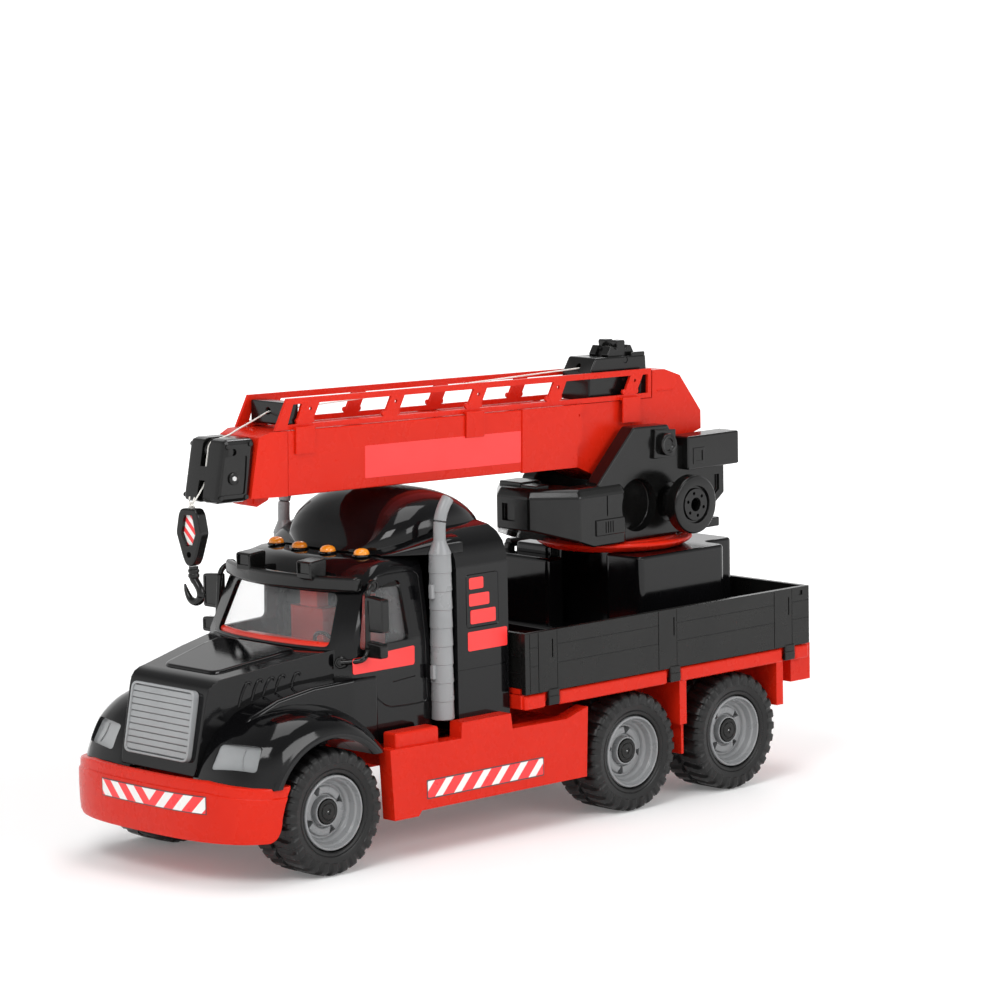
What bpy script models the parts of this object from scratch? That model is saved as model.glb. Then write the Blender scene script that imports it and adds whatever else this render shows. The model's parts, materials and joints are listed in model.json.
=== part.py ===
"""Toy crane truck: a three-axle bonneted lorry with a drop-side bed and a slewing, luffing,
telescoping crane. Lengths are in millimetres and the helpers turn them into metres.

Truck frame: X forward from the front axle, Y to the truck's left, Z up from the ground.
Boom frame: x along the boom from the luffing pin, z square to it, pitched up by BOOM_PITCH.
"""
import math

import bmesh
import bpy
from mathutils import Matrix, Vector

MM = 0.001

# Driving dimensions
FRONT_AXLE_X = 195.5
MID_AXLE_X = -284.5
REAR_AXLE_X = -390.0
WHEEL_RADIUS = 43.3
TYRE_HALF_WIDTH = 20.5
TRACK_HALF = 80.0
RIM_RADIUS = 25.8
AXLE_RADIUS = 2.4
BODY_HALF_WIDTH = 100.5
SILL_Z = 79.0
DECK_TOP_Z = 98.4
BOARD_TOP_Z = 142.0
BED_FRONT_X = -178.0
BED_REAR_X = -470.2
ROOF_Z = 203.5
CRANE_BASE_TOP_Z = 176.0
SLEW_X = -366.0
PIVOT = (-378.0, 252.0)
BOOM_PITCH = math.radians(1.4)
KNOB_AXIS = (-386.0, 208.4)
SLEEVE_HALF = 24.0
SLEEVE_LOW_Z = -12.4
SLEEVE_TOP_Z = 32.2
SLEEVE_REAR_X = 72.0
SEAM_X = 347.5
RAIL_HALF = 21.5
PULLEY_AXIS = (391.0, 20.4)
PULLEY_RADIUS = 8.3
WINCH_AXIS = (13.0, 61.0)
HOOK_X = 35.0
HOOK_TOP_Z = 247.5
BOARD_HINGE = (99.4, 93.5)
TAILGATE_HINGE = (-468.6, 101.2)
SLEEVE_TEETH = 36
PINION_TEETH = 9
GAP = 0.3

# Colours and finishes
RED = ("red_plastic", (0.76, 0.045, 0.022), 0.32, 0.0)
BLACK_GLOSS = ("black_gloss_plastic", (0.012, 0.012, 0.013), 0.12, 0.0)
BLACK_SATIN = ("black_satin_plastic", (0.035, 0.035, 0.033), 0.42, 0.0)
GREY = ("grey_plastic", (0.28, 0.29, 0.30), 0.38, 0.0)
AMBER = ("amber_plastic", (0.85, 0.28, 0.02), 0.18, 0.0)
CLEAR = ("clear_plastic", (0.85, 0.87, 0.88), 0.06, 0.0)
TYRE = ("tyre_plastic", (0.022, 0.022, 0.022), 0.5, 0.0)
STEEL = ("steel", (0.6, 0.6, 0.6), 0.3, 1.0)
ROPE = ("white_cord", (0.82, 0.80, 0.76), 0.8, 0.0)


# ------------------------------------------------------------------ scene and materials

for old in list(bpy.data.objects):
    bpy.data.objects.remove(old, do_unlink=True)


def new_collection(name):
    collection = bpy.data.collections.new(name)
    bpy.context.scene.collection.children.link(collection)
    return collection


PARTS = new_collection("toy_crane_truck")
CUTTERS = new_collection("cutters")


def material(spec):
    name, colour, roughness, metallic = spec
    found = bpy.data.materials.get(name)
    if found:
        return found
    made = bpy.data.materials.new(name)
    made.use_nodes = True
    shader = made.node_tree.nodes["Principled BSDF"]
    shader.inputs["Base Color"].default_value = (*colour, 1.0)
    shader.inputs["Roughness"].default_value = roughness
    shader.inputs["Metallic"].default_value = metallic
    made.diffuse_color = (*colour, 1.0)
    return made


# ------------------------------------------------------------------ frames and bodies

def empty(name, parent, place):
    made = bpy.data.objects.new(name, None)
    made.parent = parent
    made.location = Vector(place) * MM
    PARTS.objects.link(made)
    return made


TRUCK = empty("truck_datum", None, (FRONT_AXLE_X, 0, 0))
BOOM = empty("boom_datum", TRUCK, (PIVOT[0], 0, PIVOT[1]))
BOOM.rotation_euler = (0, -BOOM_PITCH, 0)

# Each moving body: its frame, and a point on its joint's axis
BODIES = {
    "chassis": (TRUCK, (0, 0, 0)),
    "front_wheels": (TRUCK, (0, 0, WHEEL_RADIUS)),
    "mid_wheels": (TRUCK, (MID_AXLE_X, 0, WHEEL_RADIUS)),
    "rear_wheels": (TRUCK, (REAR_AXLE_X, 0, WHEEL_RADIUS)),
    "left_board": (TRUCK, (BED_FRONT_X, BOARD_HINGE[0], BOARD_HINGE[1])),
    "right_board": (TRUCK, (BED_FRONT_X, -BOARD_HINGE[0], BOARD_HINGE[1])),
    "tailgate": (TRUCK, (TAILGATE_HINGE[0], 0, TAILGATE_HINGE[1])),
    "turret": (TRUCK, (SLEW_X, 0, CRANE_BASE_TOP_Z)),
    "luff_knob": (TRUCK, (KNOB_AXIS[0], 0, KNOB_AXIS[1])),
    "boom": (BOOM, (0, 0, 0)),
    "winch": (BOOM, (WINCH_AXIS[0], 0, WINCH_AXIS[1])),
    "inner_boom": (BOOM, (SEAM_X, 0, 0)),
    "head_pulley": (BOOM, (PULLEY_AXIS[0], 0, PULLEY_AXIS[1])),
    "rope_end": (TRUCK, (HOOK_X, 0, HOOK_TOP_Z)),
    "hook_block": (TRUCK, (HOOK_X, 0, HOOK_TOP_Z)),
    "hook": (TRUCK, (HOOK_X, 0, HOOK_TOP_Z)),
}
JOINTS = {name: empty(name + "_axis", frame, place) for name, (frame, place) in BODIES.items()}


def in_frame(obj, body):
    """Hang obj on its body's axis, with its mesh drawn in the body's frame."""
    obj.parent = JOINTS[body]
    obj.location = -Vector(BODIES[body][1]) * MM


# ------------------------------------------------------------------ shapes, as meshes

def scaled(mesh):
    mesh.transform(Matrix.Scale(MM, 4))
    return mesh


def from_bmesh(bm, name):
    mesh = bpy.data.meshes.new(name)
    bm.to_mesh(mesh)
    bm.free()
    return scaled(mesh)


def box(low, high):
    bm = bmesh.new()
    size = [h - l for l, h in zip(low, high)]
    middle = [(h + l) / 2 for l, h in zip(low, high)]
    place = Matrix.Translation(middle) @ Matrix.Diagonal((*size, 1.0))
    bmesh.ops.create_cube(bm, size=1.0, matrix=place)
    return from_bmesh(bm, "box")


AXIS_TURN = {"X": Matrix.Rotation(math.pi / 2, 4, "Y"),
             "Y": Matrix.Rotation(-math.pi / 2, 4, "X"),
             "Z": Matrix.Identity(4)}


def cylinder(axis, centre, radius, length, far_radius=None, segments=24):
    bm = bmesh.new()
    far_radius = radius if far_radius is None else far_radius
    place = Matrix.Translation(centre) @ AXIS_TURN[axis]
    bmesh.ops.create_cone(bm, cap_ends=True, segments=segments, radius1=radius, radius2=far_radius,
                          depth=length, matrix=place)
    return from_bmesh(bm, "cylinder")


def ball(centre, radius, segments=12):
    bm = bmesh.new()
    bmesh.ops.create_uvsphere(bm, u_segments=segments, v_segments=segments // 2, radius=radius,
                              matrix=Matrix.Translation(centre))
    return from_bmesh(bm, "ball")


def curve_to_mesh(curve, place):
    """Turn a curve into a closed mesh, with its caps welded on."""
    guide = bpy.data.objects.new("guide", curve)
    guide.matrix_world = place
    CUTTERS.objects.link(guide)
    bpy.context.view_layer.update()
    evaluated = guide.evaluated_get(bpy.context.evaluated_depsgraph_get())
    mesh = bpy.data.meshes.new_from_object(evaluated)
    mesh.transform(guide.matrix_world)
    bm = bmesh.new()
    bm.from_mesh(mesh)
    bmesh.ops.remove_doubles(bm, verts=bm.verts, dist=0.001)
    bmesh.ops.recalc_face_normals(bm, faces=bm.faces)
    bpy.data.objects.remove(guide, do_unlink=True)
    return from_bmesh(bm, "from_curve")


PLANE = {"XY": Matrix.Identity(4),
         "XZ": Matrix.Rotation(math.pi / 2, 4, "X"),
         "YZ": Matrix(((0, 0, 1, 0), (1, 0, 0, 0), (0, 1, 0, 0), (0, 0, 0, 1)))}
NORMAL = {"XY": Vector((0, 0, 1)), "XZ": Vector((0, 1, 0)), "YZ": Vector((1, 0, 0))}


def plate(plane, outline, low, high):
    """An outline in a plane, drawn out from low to high along the plane's normal."""
    curve = bpy.data.curves.new("outline", "CURVE")
    curve.dimensions = "2D"
    curve.fill_mode = "BOTH"
    curve.extrude = (high - low) / 2
    spline = curve.splines.new("POLY")
    spline.points.add(len(outline) - 1)
    for point, (a, b) in zip(spline.points, outline):
        point.co = (a, b, 0, 1)
    spline.use_cyclic_u = True
    place = Matrix.Translation(NORMAL[plane] * (low + high) / 2) @ PLANE[plane]
    return curve_to_mesh(curve, place)


def tube(points, radius, radii=None, resolution=2):
    """A round bar through the points, with an optional radius factor at each point."""
    curve = bpy.data.curves.new("bar", "CURVE")
    curve.dimensions = "3D"
    curve.bevel_depth = radius
    curve.bevel_resolution = resolution
    curve.use_fill_caps = True
    spline = curve.splines.new("POLY")
    spline.points.add(len(points) - 1)
    for index, (point, place) in enumerate(zip(spline.points, points)):
        point.co = (*place, 1)
        point.radius = radii[index] if radii else 1.0
    return curve_to_mesh(curve, Matrix.Identity(4))


def loft(sections):
    """A closed body through level sections, each a list of points (x, y) at a height z."""
    bm = bmesh.new()
    rings = []
    for z, outline in sections:
        rings.append([bm.verts.new((x, y, z)) for x, y in outline])
    for lower, upper in zip(rings, rings[1:]):
        count = len(lower)
        for i in range(count):
            j = (i + 1) % count
            bm.faces.new((lower[i], lower[j], upper[j], upper[i]))
    bm.faces.new(rings[0])
    bm.faces.new(rings[-1])
    bmesh.ops.recalc_face_normals(bm, faces=bm.faces)
    return from_bmesh(bm, "loft")


def between(side, a, b):
    """Low and high Y of a stretch a..b on one side of the truck."""
    return (min(side * a, side * b), max(side * a, side * b))


# ------------------------------------------------------------------ parts, as objects

def operand(obj, mesh, operation, body):
    tool = bpy.data.objects.new(obj.name + "_tool", mesh)
    tool.hide_render = True
    tool.display_type = "WIRE"
    CUTTERS.objects.link(tool)
    in_frame(tool, body)
    change = obj.modifiers.new(operation.lower(), "BOOLEAN")
    change.operation = operation
    change.object = tool
    change.solver = "EXACT"


def part(name, body, spec, base, add=(), cut=(), keep=(), bevel=None):
    """One named sub-part: base, with solids added, kept within others and cut away."""
    obj = bpy.data.objects.new(name, base)
    base.name = name
    obj.data.materials.append(material(spec))
    PARTS.objects.link(obj)
    in_frame(obj, body)
    for mesh in keep:
        operand(obj, mesh, "INTERSECT", body)
    for mesh in add:
        operand(obj, mesh, "UNION", body)
    for mesh in cut:
        operand(obj, mesh, "DIFFERENCE", body)
    if bevel:
        rounding = obj.modifiers.new("rounding", "BEVEL")
        rounding.width = bevel[0] * MM
        rounding.segments = bevel[1]
        rounding.limit_method = "ANGLE"
        rounding.angle_limit = math.radians(40)
        rounding.harden_normals = False
    obj.data.set_sharp_from_angle(angle=math.radians(35))
    return obj


def turned(name, body, spec, profile, centre, side, steps):
    """A ring turned about the Y axis; profile points are (radius, distance outboard)."""
    bm = bmesh.new()
    points = [bm.verts.new((r * MM, 0, h * MM)) for r, h in profile]
    for a, b in zip(points, points[1:] + points[:1]):
        bm.edges.new((a, b))
    mesh = bpy.data.meshes.new(name)
    bm.to_mesh(mesh)
    bm.free()
    obj = bpy.data.objects.new(name, mesh)
    obj.data.materials.append(material(spec))
    PARTS.objects.link(obj)
    obj.parent = JOINTS[body]
    obj.location = (Vector(centre) - Vector(BODIES[body][1])) * MM
    obj.rotation_euler = (-side * math.pi / 2, 0, 0)
    screw = obj.modifiers.new("turn", "SCREW")
    screw.steps = steps
    screw.render_steps = steps
    screw.use_merge_vertices = True
    screw.merge_threshold = 0.00001
    screw.use_smooth_shade = True
    return obj


# ------------------------------------------------------------------ wheels and axles

TYRE_PROFILE = [(38.8, 20.5), (43.3, 16.0), (43.3, -16.0), (38.8, -20.5), (29.0, -20.0),
                (26.1, -17.0), (26.1, 17.0), (29.0, 20.0)]
RIM_PROFILE = [(RIM_RADIUS, 18.0), (RIM_RADIUS, -16.0), (22.8, -16.0), (22.8, 3.5), (2.7, 3.5),
               (2.7, 13.5), (8.5, 13.5), (9.5, 8.0), (17.0, 7.0), (21.8, 14.0), (23.4, 18.0)]


def wheel_set(place, x):
    body = place + "_wheels"
    for side, label in ((1, "left"), (-1, "right")):
        centre = (x, side * TRACK_HALF, WHEEL_RADIUS)
        turned(f"{place}_{label}_tyre", body, TYRE, TYRE_PROFILE, centre, side, 24)
        turned(f"{place}_{label}_rim", body, GREY, RIM_PROFILE, centre, side, 16)
    axle = cylinder("Y", (x, 0, WHEEL_RADIUS), AXLE_RADIUS, 185.0, segments=16)
    part(f"{place}_axle", body, STEEL, axle)


# ------------------------------------------------------------------ chassis

SKIRT = [(-50, 78.7), (-53, 29.5), (-75, 29.5), (-78, 33), (-236, 33), (-238, 83), (-217, 77),
         (-164.5, 77.5), (-163, 88.5), (-116.5, 88.5), (-116, 77.5)]


def chassis_frame():
    beam = box((-462, -32, 52), (52, 32, 76))
    add = [box((-464.5, -97, 88.8), (BED_FRONT_X + 2, 97, DECK_TOP_Z)),
           box((-440, -28, 74), (-180, 28, 92)),
           box((-235, -94, 64), (-60, 94, 73)),
           box((40, -54, 37), (62, 54, 62)),
           box((-479, -92, 70), (-458, 92, 97)),
           box((-463, -60, 60), (-455, 60, 92))]
    for side in (1, -1):
        low, high = between(side, 88.4, BODY_HALF_WIDTH)
        add.append(plate("XZ", SKIRT, low, high))
        for x in (-340.5, -443.0):
            low, high = between(side, 60, 98)
            add.append(box((x, low, 56), (x + 7, high, 90)))
        for x in (0, MID_AXLE_X, REAR_AXLE_X):
            low, high = between(side, 18, 31)
            add.append(box((x - 8, low, 36), (x + 8, high, 54)))
    cut = [cylinder("Y", (x, 0, WHEEL_RADIUS), AXLE_RADIUS + 0.5, 80, segments=16)
           for x in (0, MID_AXLE_X, REAR_AXLE_X)]
    # The beam and spine are channels, open below between the axles
    cut += [box((x_low, -28, 40), (x_high, 28, top)) for x_low, x_high, top in
            ((-452, -400, 87), (-380, -295, 87), (-274, -185, 87), (-180, -12, 71), (12, 44, 71))]
    part("chassis_frame", "chassis", RED, beam, add=add, cut=cut)


BUMPER_OUTER = [(88, 0), (87.6, 22), (86.4, 42), (83.4, 60), (77.4, 76), (67, 89), (52, 97.8), (34, 100.5)]
BUMPER_INNER = [(34, 92), (46, 89), (57, 81.5), (66.5, 70), (73, 55), (77.2, 40), (79.4, 20), (80, 0)]


def front_bumper():
    crescent = BUMPER_OUTER + BUMPER_INNER[:-1]
    crescent += [(80, 0)] + [(x, -y) for x, y in reversed(BUMPER_INNER[:-1])]
    crescent += [(x, -y) for x, y in reversed(BUMPER_OUTER[1:])]
    body = plate("XY", crescent, 30, 73.6)
    arch = cylinder("Y", (0, 0, WHEEL_RADIUS), 46.5, 220, segments=48)
    tab = box((62.4, -40, 42), (81, 40, 58))
    part("front_bumper", "chassis", RED, body, add=[tab], cut=[arch], bevel=(2.0, 1))


# ------------------------------------------------------------------ cab

# Level sections of the cab: height, front face X, half-width at the screen's edge and at the door
CAB_LEVELS = [(SILL_Z, -24, 60, 78), (146, -24, 60, 77), (184, -40, 54, 72), (193, -47, 55, 70.5),
              (200, -57, 52, 67), (ROOF_Z, -66, 46, 60)]
CAB_REAR_X = -109


def cab_outline(front, screen_half, door_half, inset=0.0):
    """Half the cab's level outline, from the middle of the front to the rear corner."""
    f = front - inset
    s = screen_half - inset * 0.8
    d = door_half - inset
    return [(f, 0), (f - 1.5, s * 0.4), (f - 4.5, s * 0.75), (f - 9, s), (f - 18, d),
            (CAB_REAR_X + inset, d)]


def cab_section(level, inset=0.0):
    z, front, screen_half, door_half = level
    half = cab_outline(front, screen_half, door_half, inset)
    return z, half + [(x, -y) for x, y in reversed(half[1:])]


HOOD_SIDE = [(68.2, SILL_Z), (58.3, 126.5), (55.5, 131.5), (50, 134), (-30, 145.4), (-46, 146),
             (-46, SILL_Z)]
HOOD_PLAN = [(72, 0), (72, 37), (50, 39), (-30, 62), (-46, 64), (-46, 0)]
FENDER_SIDE = [(66, SILL_Z - 1), (60, 92), (50, 101.5), (36, 109), (18, 113.5), (0, 114), (-18, 111),
               (-34, 104), (-48, 92), (-59, SILL_Z)]
FENDER_PLAN = [(70, 34), (69, 52), (62, 84), (52, 93), (38, 98.5), (20, 100.3), (-62, 100.3),
               (-62, 34)]
SHOULDER_SIDE = [(60, SILL_Z), (55, 100), (42, 114), (22, 122), (-8, 126), (-44, 128), (-60, 128),
                 (-60, SILL_Z)]
SCREEN_HOLE = [(53, 181.5), (58.5, 148), (-58.5, 148), (-53, 181.5)]
DOOR_WINDOW = [(-54.5, 184), (-87, 189), (-89.5, 148), (-44, 147)]
LAMP_SIZE = (7.0, 33.0, 18.0)


def lamp_place(side):
    turn = Matrix.Rotation(side * math.radians(16.5), 4, "Z") @ Matrix.Rotation(math.radians(-28), 4, "Y")
    return Matrix.Translation(Vector((55.8, side * 69.8, 83.6)) * MM) @ turn


def lamp_block(side, grow, reach):
    """The headlamp's block, grown all round and drawn forward by reach for its pocket."""
    depth, width, height = LAMP_SIZE
    below = grow + (5 if reach else 0)
    mesh = box((-depth / 2 - grow, -width / 2 - grow, -height / 2 - below),
               (depth / 2 + grow + reach, width / 2 + grow, height / 2 + grow))
    mesh.transform(lamp_place(side))
    return mesh


def fender(side):
    low, high = between(side, 34, 100.3)
    return plate("XZ", FENDER_SIDE, low, high)


def cab_shell():
    base = loft([cab_section(level) for level in CAB_LEVELS])
    hood = plate("XZ", HOOD_SIDE, -66, 66)
    hood_plan = [(x, y) for x, y in HOOD_PLAN] + [(x, -y) for x, y in reversed(HOOD_PLAN[:-1])]
    obj = part("hood_form", "chassis", BLACK_GLOSS, hood, keep=[plate("XY", hood_plan, 60, 160)])
    hood = hidden_mesh(obj)
    add = [hood]
    for side in (1, -1):
        plan = [(x, side * y) for x, y in FENDER_PLAN]
        form = part("fender_form", "chassis", BLACK_GLOSS, fender(side), keep=[plate("XY", plan, 60, 160)])
        add.append(hidden_mesh(form))
        low, high = between(side, 30, 79)
        add.append(plate("XZ", SHOULDER_SIDE, low, high))
    inner = [cab_section(level, 3.5) for level in CAB_LEVELS[:4]]
    inner[0] = (70, inner[0][1])
    inner[-1] = (190, inner[-1][1])
    cut = [loft(inner),
           plate("YZ", SCREEN_HOLE, -62, 0),
           plate("XZ", DOOR_WINDOW, -90, 90),
           box((-26, -33, 70), (54, 33, 118))]
    for side in (1, -1):
        low, high = between(side, 52, 110)
        cut.append(cylinder("Y", (0, (low + high) / 2, WHEEL_RADIUS), 50.0, high - low, segments=48))
        cut.append(lamp_block(side, GAP, 20))
    part("cab_shell", "chassis", BLACK_GLOSS, base, add=add, cut=cut)


def hidden_mesh(obj):
    """The finished mesh of a form, whose object is then dropped."""
    bpy.context.view_layer.update()
    evaluated = obj.evaluated_get(bpy.context.evaluated_depsgraph_get())
    mesh = bpy.data.meshes.new_from_object(evaluated)
    for change in obj.modifiers:
        bpy.data.objects.remove(change.object, do_unlink=True)
    bpy.data.objects.remove(obj, do_unlink=True)
    return mesh


def cab_glazing():
    """One clear moulding that lines the screen and both door windows."""
    sections = []
    for z, front, screen_half, door_half in CAB_LEVELS[1:3]:
        outer = cab_outline(front, screen_half, door_half, 3.9)[:-1] + [(-98, door_half - 3.9)]
        inner = cab_outline(front, screen_half, door_half, 5.1)[:-1] + [(-98, door_half - 5.1)]
        ring = outer + [(x, y) for x, y in reversed(inner)]
        ring += [(x, -y) for x, y in inner[1:]] + [(x, -y) for x, y in reversed(outer[1:])]
        sections.append((z, ring))
    part("cab_glazing", "chassis", CLEAR, loft(sections))


def interior():
    floor = box((-100, -60, 92), (-40, 60, 96))
    dash = plate("XY", [(-33, 0), (-34, 20), (-38, 40), (-42, 50), (-56, 50), (-56, -50), (-42, -50),
                        (-38, -40), (-34, -20)], 95, 144.5)
    add = [dash]
    for side in (1, -1):
        low, high = between(side, 8, 42)
        add.append(box((-92, low, 95), (-62, high, 126)))
        add.append(box((-100, low, 95), (-86, high, 160)))
        low, high = between(side, 16, 34)
        add.append(box((-99, low, 159), (-88, high, 174)))
    part("cab_interior", "chassis", RED, floor, add=add)


def steering_wheel():
    """A rim on a raked column, ahead of the left seat."""
    path = []
    tilt = Matrix.Translation((-62, 25, 140)) @ Matrix.Rotation(math.radians(-62), 4, "Y")
    count = 20
    for i in range(count):
        angle = 2 * math.pi * i / count
        path.append(tilt @ Vector((12 * math.cos(angle), 12 * math.sin(angle), 0)))
    curve = bpy.data.curves.new("rim", "CURVE")
    curve.dimensions = "3D"
    curve.bevel_depth = 1.5
    curve.bevel_resolution = 1
    spline = curve.splines.new("POLY")
    spline.points.add(count - 1)
    for point, place in zip(spline.points, path):
        point.co = (*place, 1)
    spline.use_cyclic_u = True
    rim = curve_to_mesh(curve, Matrix.Identity(4))
    spoke = tube([tilt @ Vector((0, -12, 0)), tilt @ Vector((0, 12, 0))], 1.3, resolution=1)
    column = tube([tilt @ Vector((0, 0, 1)), tilt @ Vector((0, 0, -5.2))], 2.2, resolution=1)
    part("steering_wheel", "chassis", BLACK_SATIN, rim, add=[spoke, column])


GRILLE_SIDE = [(64, 127), (59.1, 126), (69.0, 78.2), (74, 79.2)]


def cab_fittings():
    part("radiator_grille", "chassis", GREY, plate("XZ", GRILLE_SIDE, -32.5, 32.5), bevel=(1.0, 2))
    for side, label in ((1, "left"), (-1, "right")):
        part(f"{label}_headlight", "chassis", GREY, lamp_block(side, 0, 0), bevel=(1.0, 2))
        for x, y, place in ((-72.5, 15, "inner"), (-77.0, 45, "outer")):
            lens = cylinder("Z", (x, side * y, ROOF_Z + 3.3), 5.6, 5.6, 4.6, 16)
            part(f"{label}_{place}_roof_light", "chassis", AMBER, lens)


VISOR_OUTER = [(-33, 0), (-35, 24), (-39.5, 44), (-45, 58), (-50, 69)]
VISOR_INNER = [(-39.2, 0), (-40.6, 21.6), (-43.6, 40.5), (-48.2, 54.3), (-55.5, 70)]


def sun_visor():
    outline = VISOR_OUTER + list(reversed(VISOR_INNER))
    outline += [(x, -y) for x, y in VISOR_INNER[1:]] + [(x, -y) for x, y in reversed(VISOR_OUTER[1:])]
    band = plate("XY", outline, 183.5, 194)
    boxes = [box((-47.6, between(s, 25, 39)[0], 192), (-35, between(s, 25, 39)[1], 204)) for s in (1, -1)]
    part("sun_visor", "chassis", BLACK_SATIN, band, add=boxes)


def mirror(side, label):
    """Two mirror heads on one bent bar, held by a boss at the roof and one at the door's foot."""
    def at(x, y, z):
        return (x, side * y, z)
    bar = tube([at(-60, 74.6, 188), at(-56, 76.4, 187.6), at(-53, 77.8, 184), at(-52, 78.6, 178),
                at(-50, 79.8, 146), at(-47, 80.2, 141.5), at(-41, 80.4, 138.8),
                at(-34.2, 70.3, 137.6)], 1.9)
    low, high = between(side, 77.8, 95)
    add = [box((-57, low, 158), (-50.5, high, 182)),
           box((-55, low, 140.5), (-49, high, 151.5)),
           cylinder("Y", at(-60, 74.2, 188), 3.6, 3.4, segments=12),
           tube([at(-36.5, 67.8, 137.5), at(-33.9, 69.2, 137.5)], 4.0)]
    part(f"{label}_mirror", "chassis", BLACK_SATIN, bar, add=add)


def exhaust(side, label):
    """A stack: a wide ribbed sleeve, a cone, and a thin pipe bent back at its top."""
    y = side * 82
    sleeve = cylinder("Z", (-116, y, 146.5), 8.0, 115.0, segments=20)
    cone = cylinder("Z", (-116, y, 208.5), 8.0, 10.0, 4.4, 20)
    pipe = tube([(-116, y, 211), (-116, y, 222), (-117, y, 229), (-119.5, y, 235.5), (-123.5, y, 241)],
                4.3)
    part(f"{label}_exhaust_stack", "chassis", GREY, sleeve, add=[cone, pipe])


# Sections of the wind deflector across the truck: X, half-width, top Z
DEFLECTOR = [(-84, 30, 207), (-90, 46, 218), (-104, 58, 232), (-122, 63, 240.5), (-146, 64, 243),
             (-164, 62, 239), (-176, 58, 231)]


def deflector_section(half, top, bottom):
    """Half-round-shouldered outline (across, up) with its foot at the given height."""
    points = []
    rise = top - bottom
    for step in range(9):
        angle = math.pi * step / 8
        c = math.cos(angle)
        s = math.sin(angle)
        points.append((half * math.copysign(abs(c) ** 0.6, c), bottom + rise * s ** 0.55))
    return points


def sleeper():
    """The sleeper's box with the tall wind deflector moulded over the cab roof."""
    sections = []
    for x, half, top in DEFLECTOR:
        sections.append((x, [(z, -y) for y, z in deflector_section(half, top, ROOF_Z + 0.4)]))
    bm = loft(sections)
    # The loft runs along its own Z: turn it so that it runs along the truck
    bm.transform(Matrix(((0, 0, 1, 0), (0, -1, 0, 0), (1, 0, 0, 0), (0, 0, 0, 1))))
    side_box = plate("YZ", [(88, SILL_Z), (88, 196), (84, 208), (74, 217), (60, 220), (-60, 220),
                            (-74, 217), (-84, 208), (-88, 196), (-88, SILL_Z)], -174, -125.5)
    cut = [box((-170.5, -84.5, 70), (-129, 84.5, 196)),
           box((-168, -44, 190), (-108, 44, 222))]
    part("sleeper_deflector", "chassis", BLACK_GLOSS, side_box, add=[bm], cut=cut)


# ------------------------------------------------------------------ bed

POST_X = (-205, -320, -420)


def bed():
    floor = box((-464.3, -94, DECK_TOP_Z + GAP), (BED_FRONT_X - 0.3, 94, 102.6))
    grooves = [box((-470, y - 0.5, 102.0), (-170, y + 0.5, 104)) for y in (-62.7, -31.3, 0, 31.3, 62.7)]
    part("bed_floor", "chassis", RED, floor, cut=grooves)
    wall = box((BED_FRONT_X - 4.5, -95.2, 103), (BED_FRONT_X - 0.4, 95.2, BOARD_TOP_Z))
    part("headboard", "chassis", BLACK_SATIN, wall)


def side_board(side, label):
    """A drop side with a framed edge, two long ribs, and three posts that end in hinge knuckles."""
    def wall(x_low, x_high, y_low, y_high, z_low, z_high):
        low, high = between(side, y_low, y_high)
        return box((x_low, low, z_low), (x_high, high, z_high))
    front = BED_FRONT_X - 0.2
    rear = BED_REAR_X + 4.5
    base = wall(rear, front, 95.8, 98.6, 99.1, BOARD_TOP_Z)
    add = [wall(rear, front, 96, BODY_HALF_WIDTH, BOARD_TOP_Z - 3.5, BOARD_TOP_Z),
           wall(rear, front, 96, BODY_HALF_WIDTH, 99.1, 102.5),
           wall(rear, front, 96, 99.6, 112.5, 114.0),
           wall(rear, front, 96, 99.6, 125.5, 127.0),
           wall(front - 4, front, 96, BODY_HALF_WIDTH, 99.1, BOARD_TOP_Z),
           wall(rear, rear + 4, 96, BODY_HALF_WIDTH, 99.1, BOARD_TOP_Z)]
    for x in POST_X:
        for foot in (-7.5, 4.0):
            add.append(wall(x + foot, x + foot + 3.5, 97.4, 100.9, 96.5, BOARD_TOP_Z - 1.5))
        add.append(wall(x - 7.4, x + 7.4, 98.2, 100.7, 93.5, 101))
        add.append(cylinder("X", (x, side * BOARD_HINGE[0], BOARD_HINGE[1]), 2.0, 15.0, segments=12))
    part(f"{label}_side_board", f"{label}_board", BLACK_SATIN, base, add=add)


def tailgate():
    base = box((BED_REAR_X + 1.4, -95.2, 99.3), (BED_REAR_X + 3.9, 95.2, BOARD_TOP_Z))
    add = [box((BED_REAR_X, -95.2, BOARD_TOP_Z - 3.5), (BED_REAR_X + 3, 95.2, BOARD_TOP_Z)),
           box((BED_REAR_X, -95.2, 99.3), (BED_REAR_X + 3, 95.2, 103)),
           box((BED_REAR_X + 0.6, -95, 112.5), (BED_REAR_X + 2, 95, 114)),
           box((BED_REAR_X + 0.6, -95, 125.5), (BED_REAR_X + 2, 95, 127))]
    for y in (-91.5, -30, 30, 91.5):
        add.append(box((BED_REAR_X, y - 3.7, 99.3), (BED_REAR_X + 3, y + 3.7, BOARD_TOP_Z)))
    part("tailgate", "tailgate", BLACK_SATIN, base, add=add)


# ------------------------------------------------------------------ crane base and turret

BASE_PLAN = [(-327, 29), (-327, 66), (-416, 66), (-416, 45), (-446, 45), (-446, -45), (-416, -45),
             (-416, -66), (-327, -66), (-327, -29), (-340, -29), (-340, 29)]
TURRET_PLAN = [(-263, 0), (-263, 16.5), (-289, 44), (-334, 44), (-338, 40), (-418, 40), (-452, 32),
               (-452, 0)]
CHEEK_SIDE = [(-312, 200), (-312, 229), (-353, 268), (-385, 262.7), (-401, 246), (-440, 244),
              (-452, 226), (-452, 200)]


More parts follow.
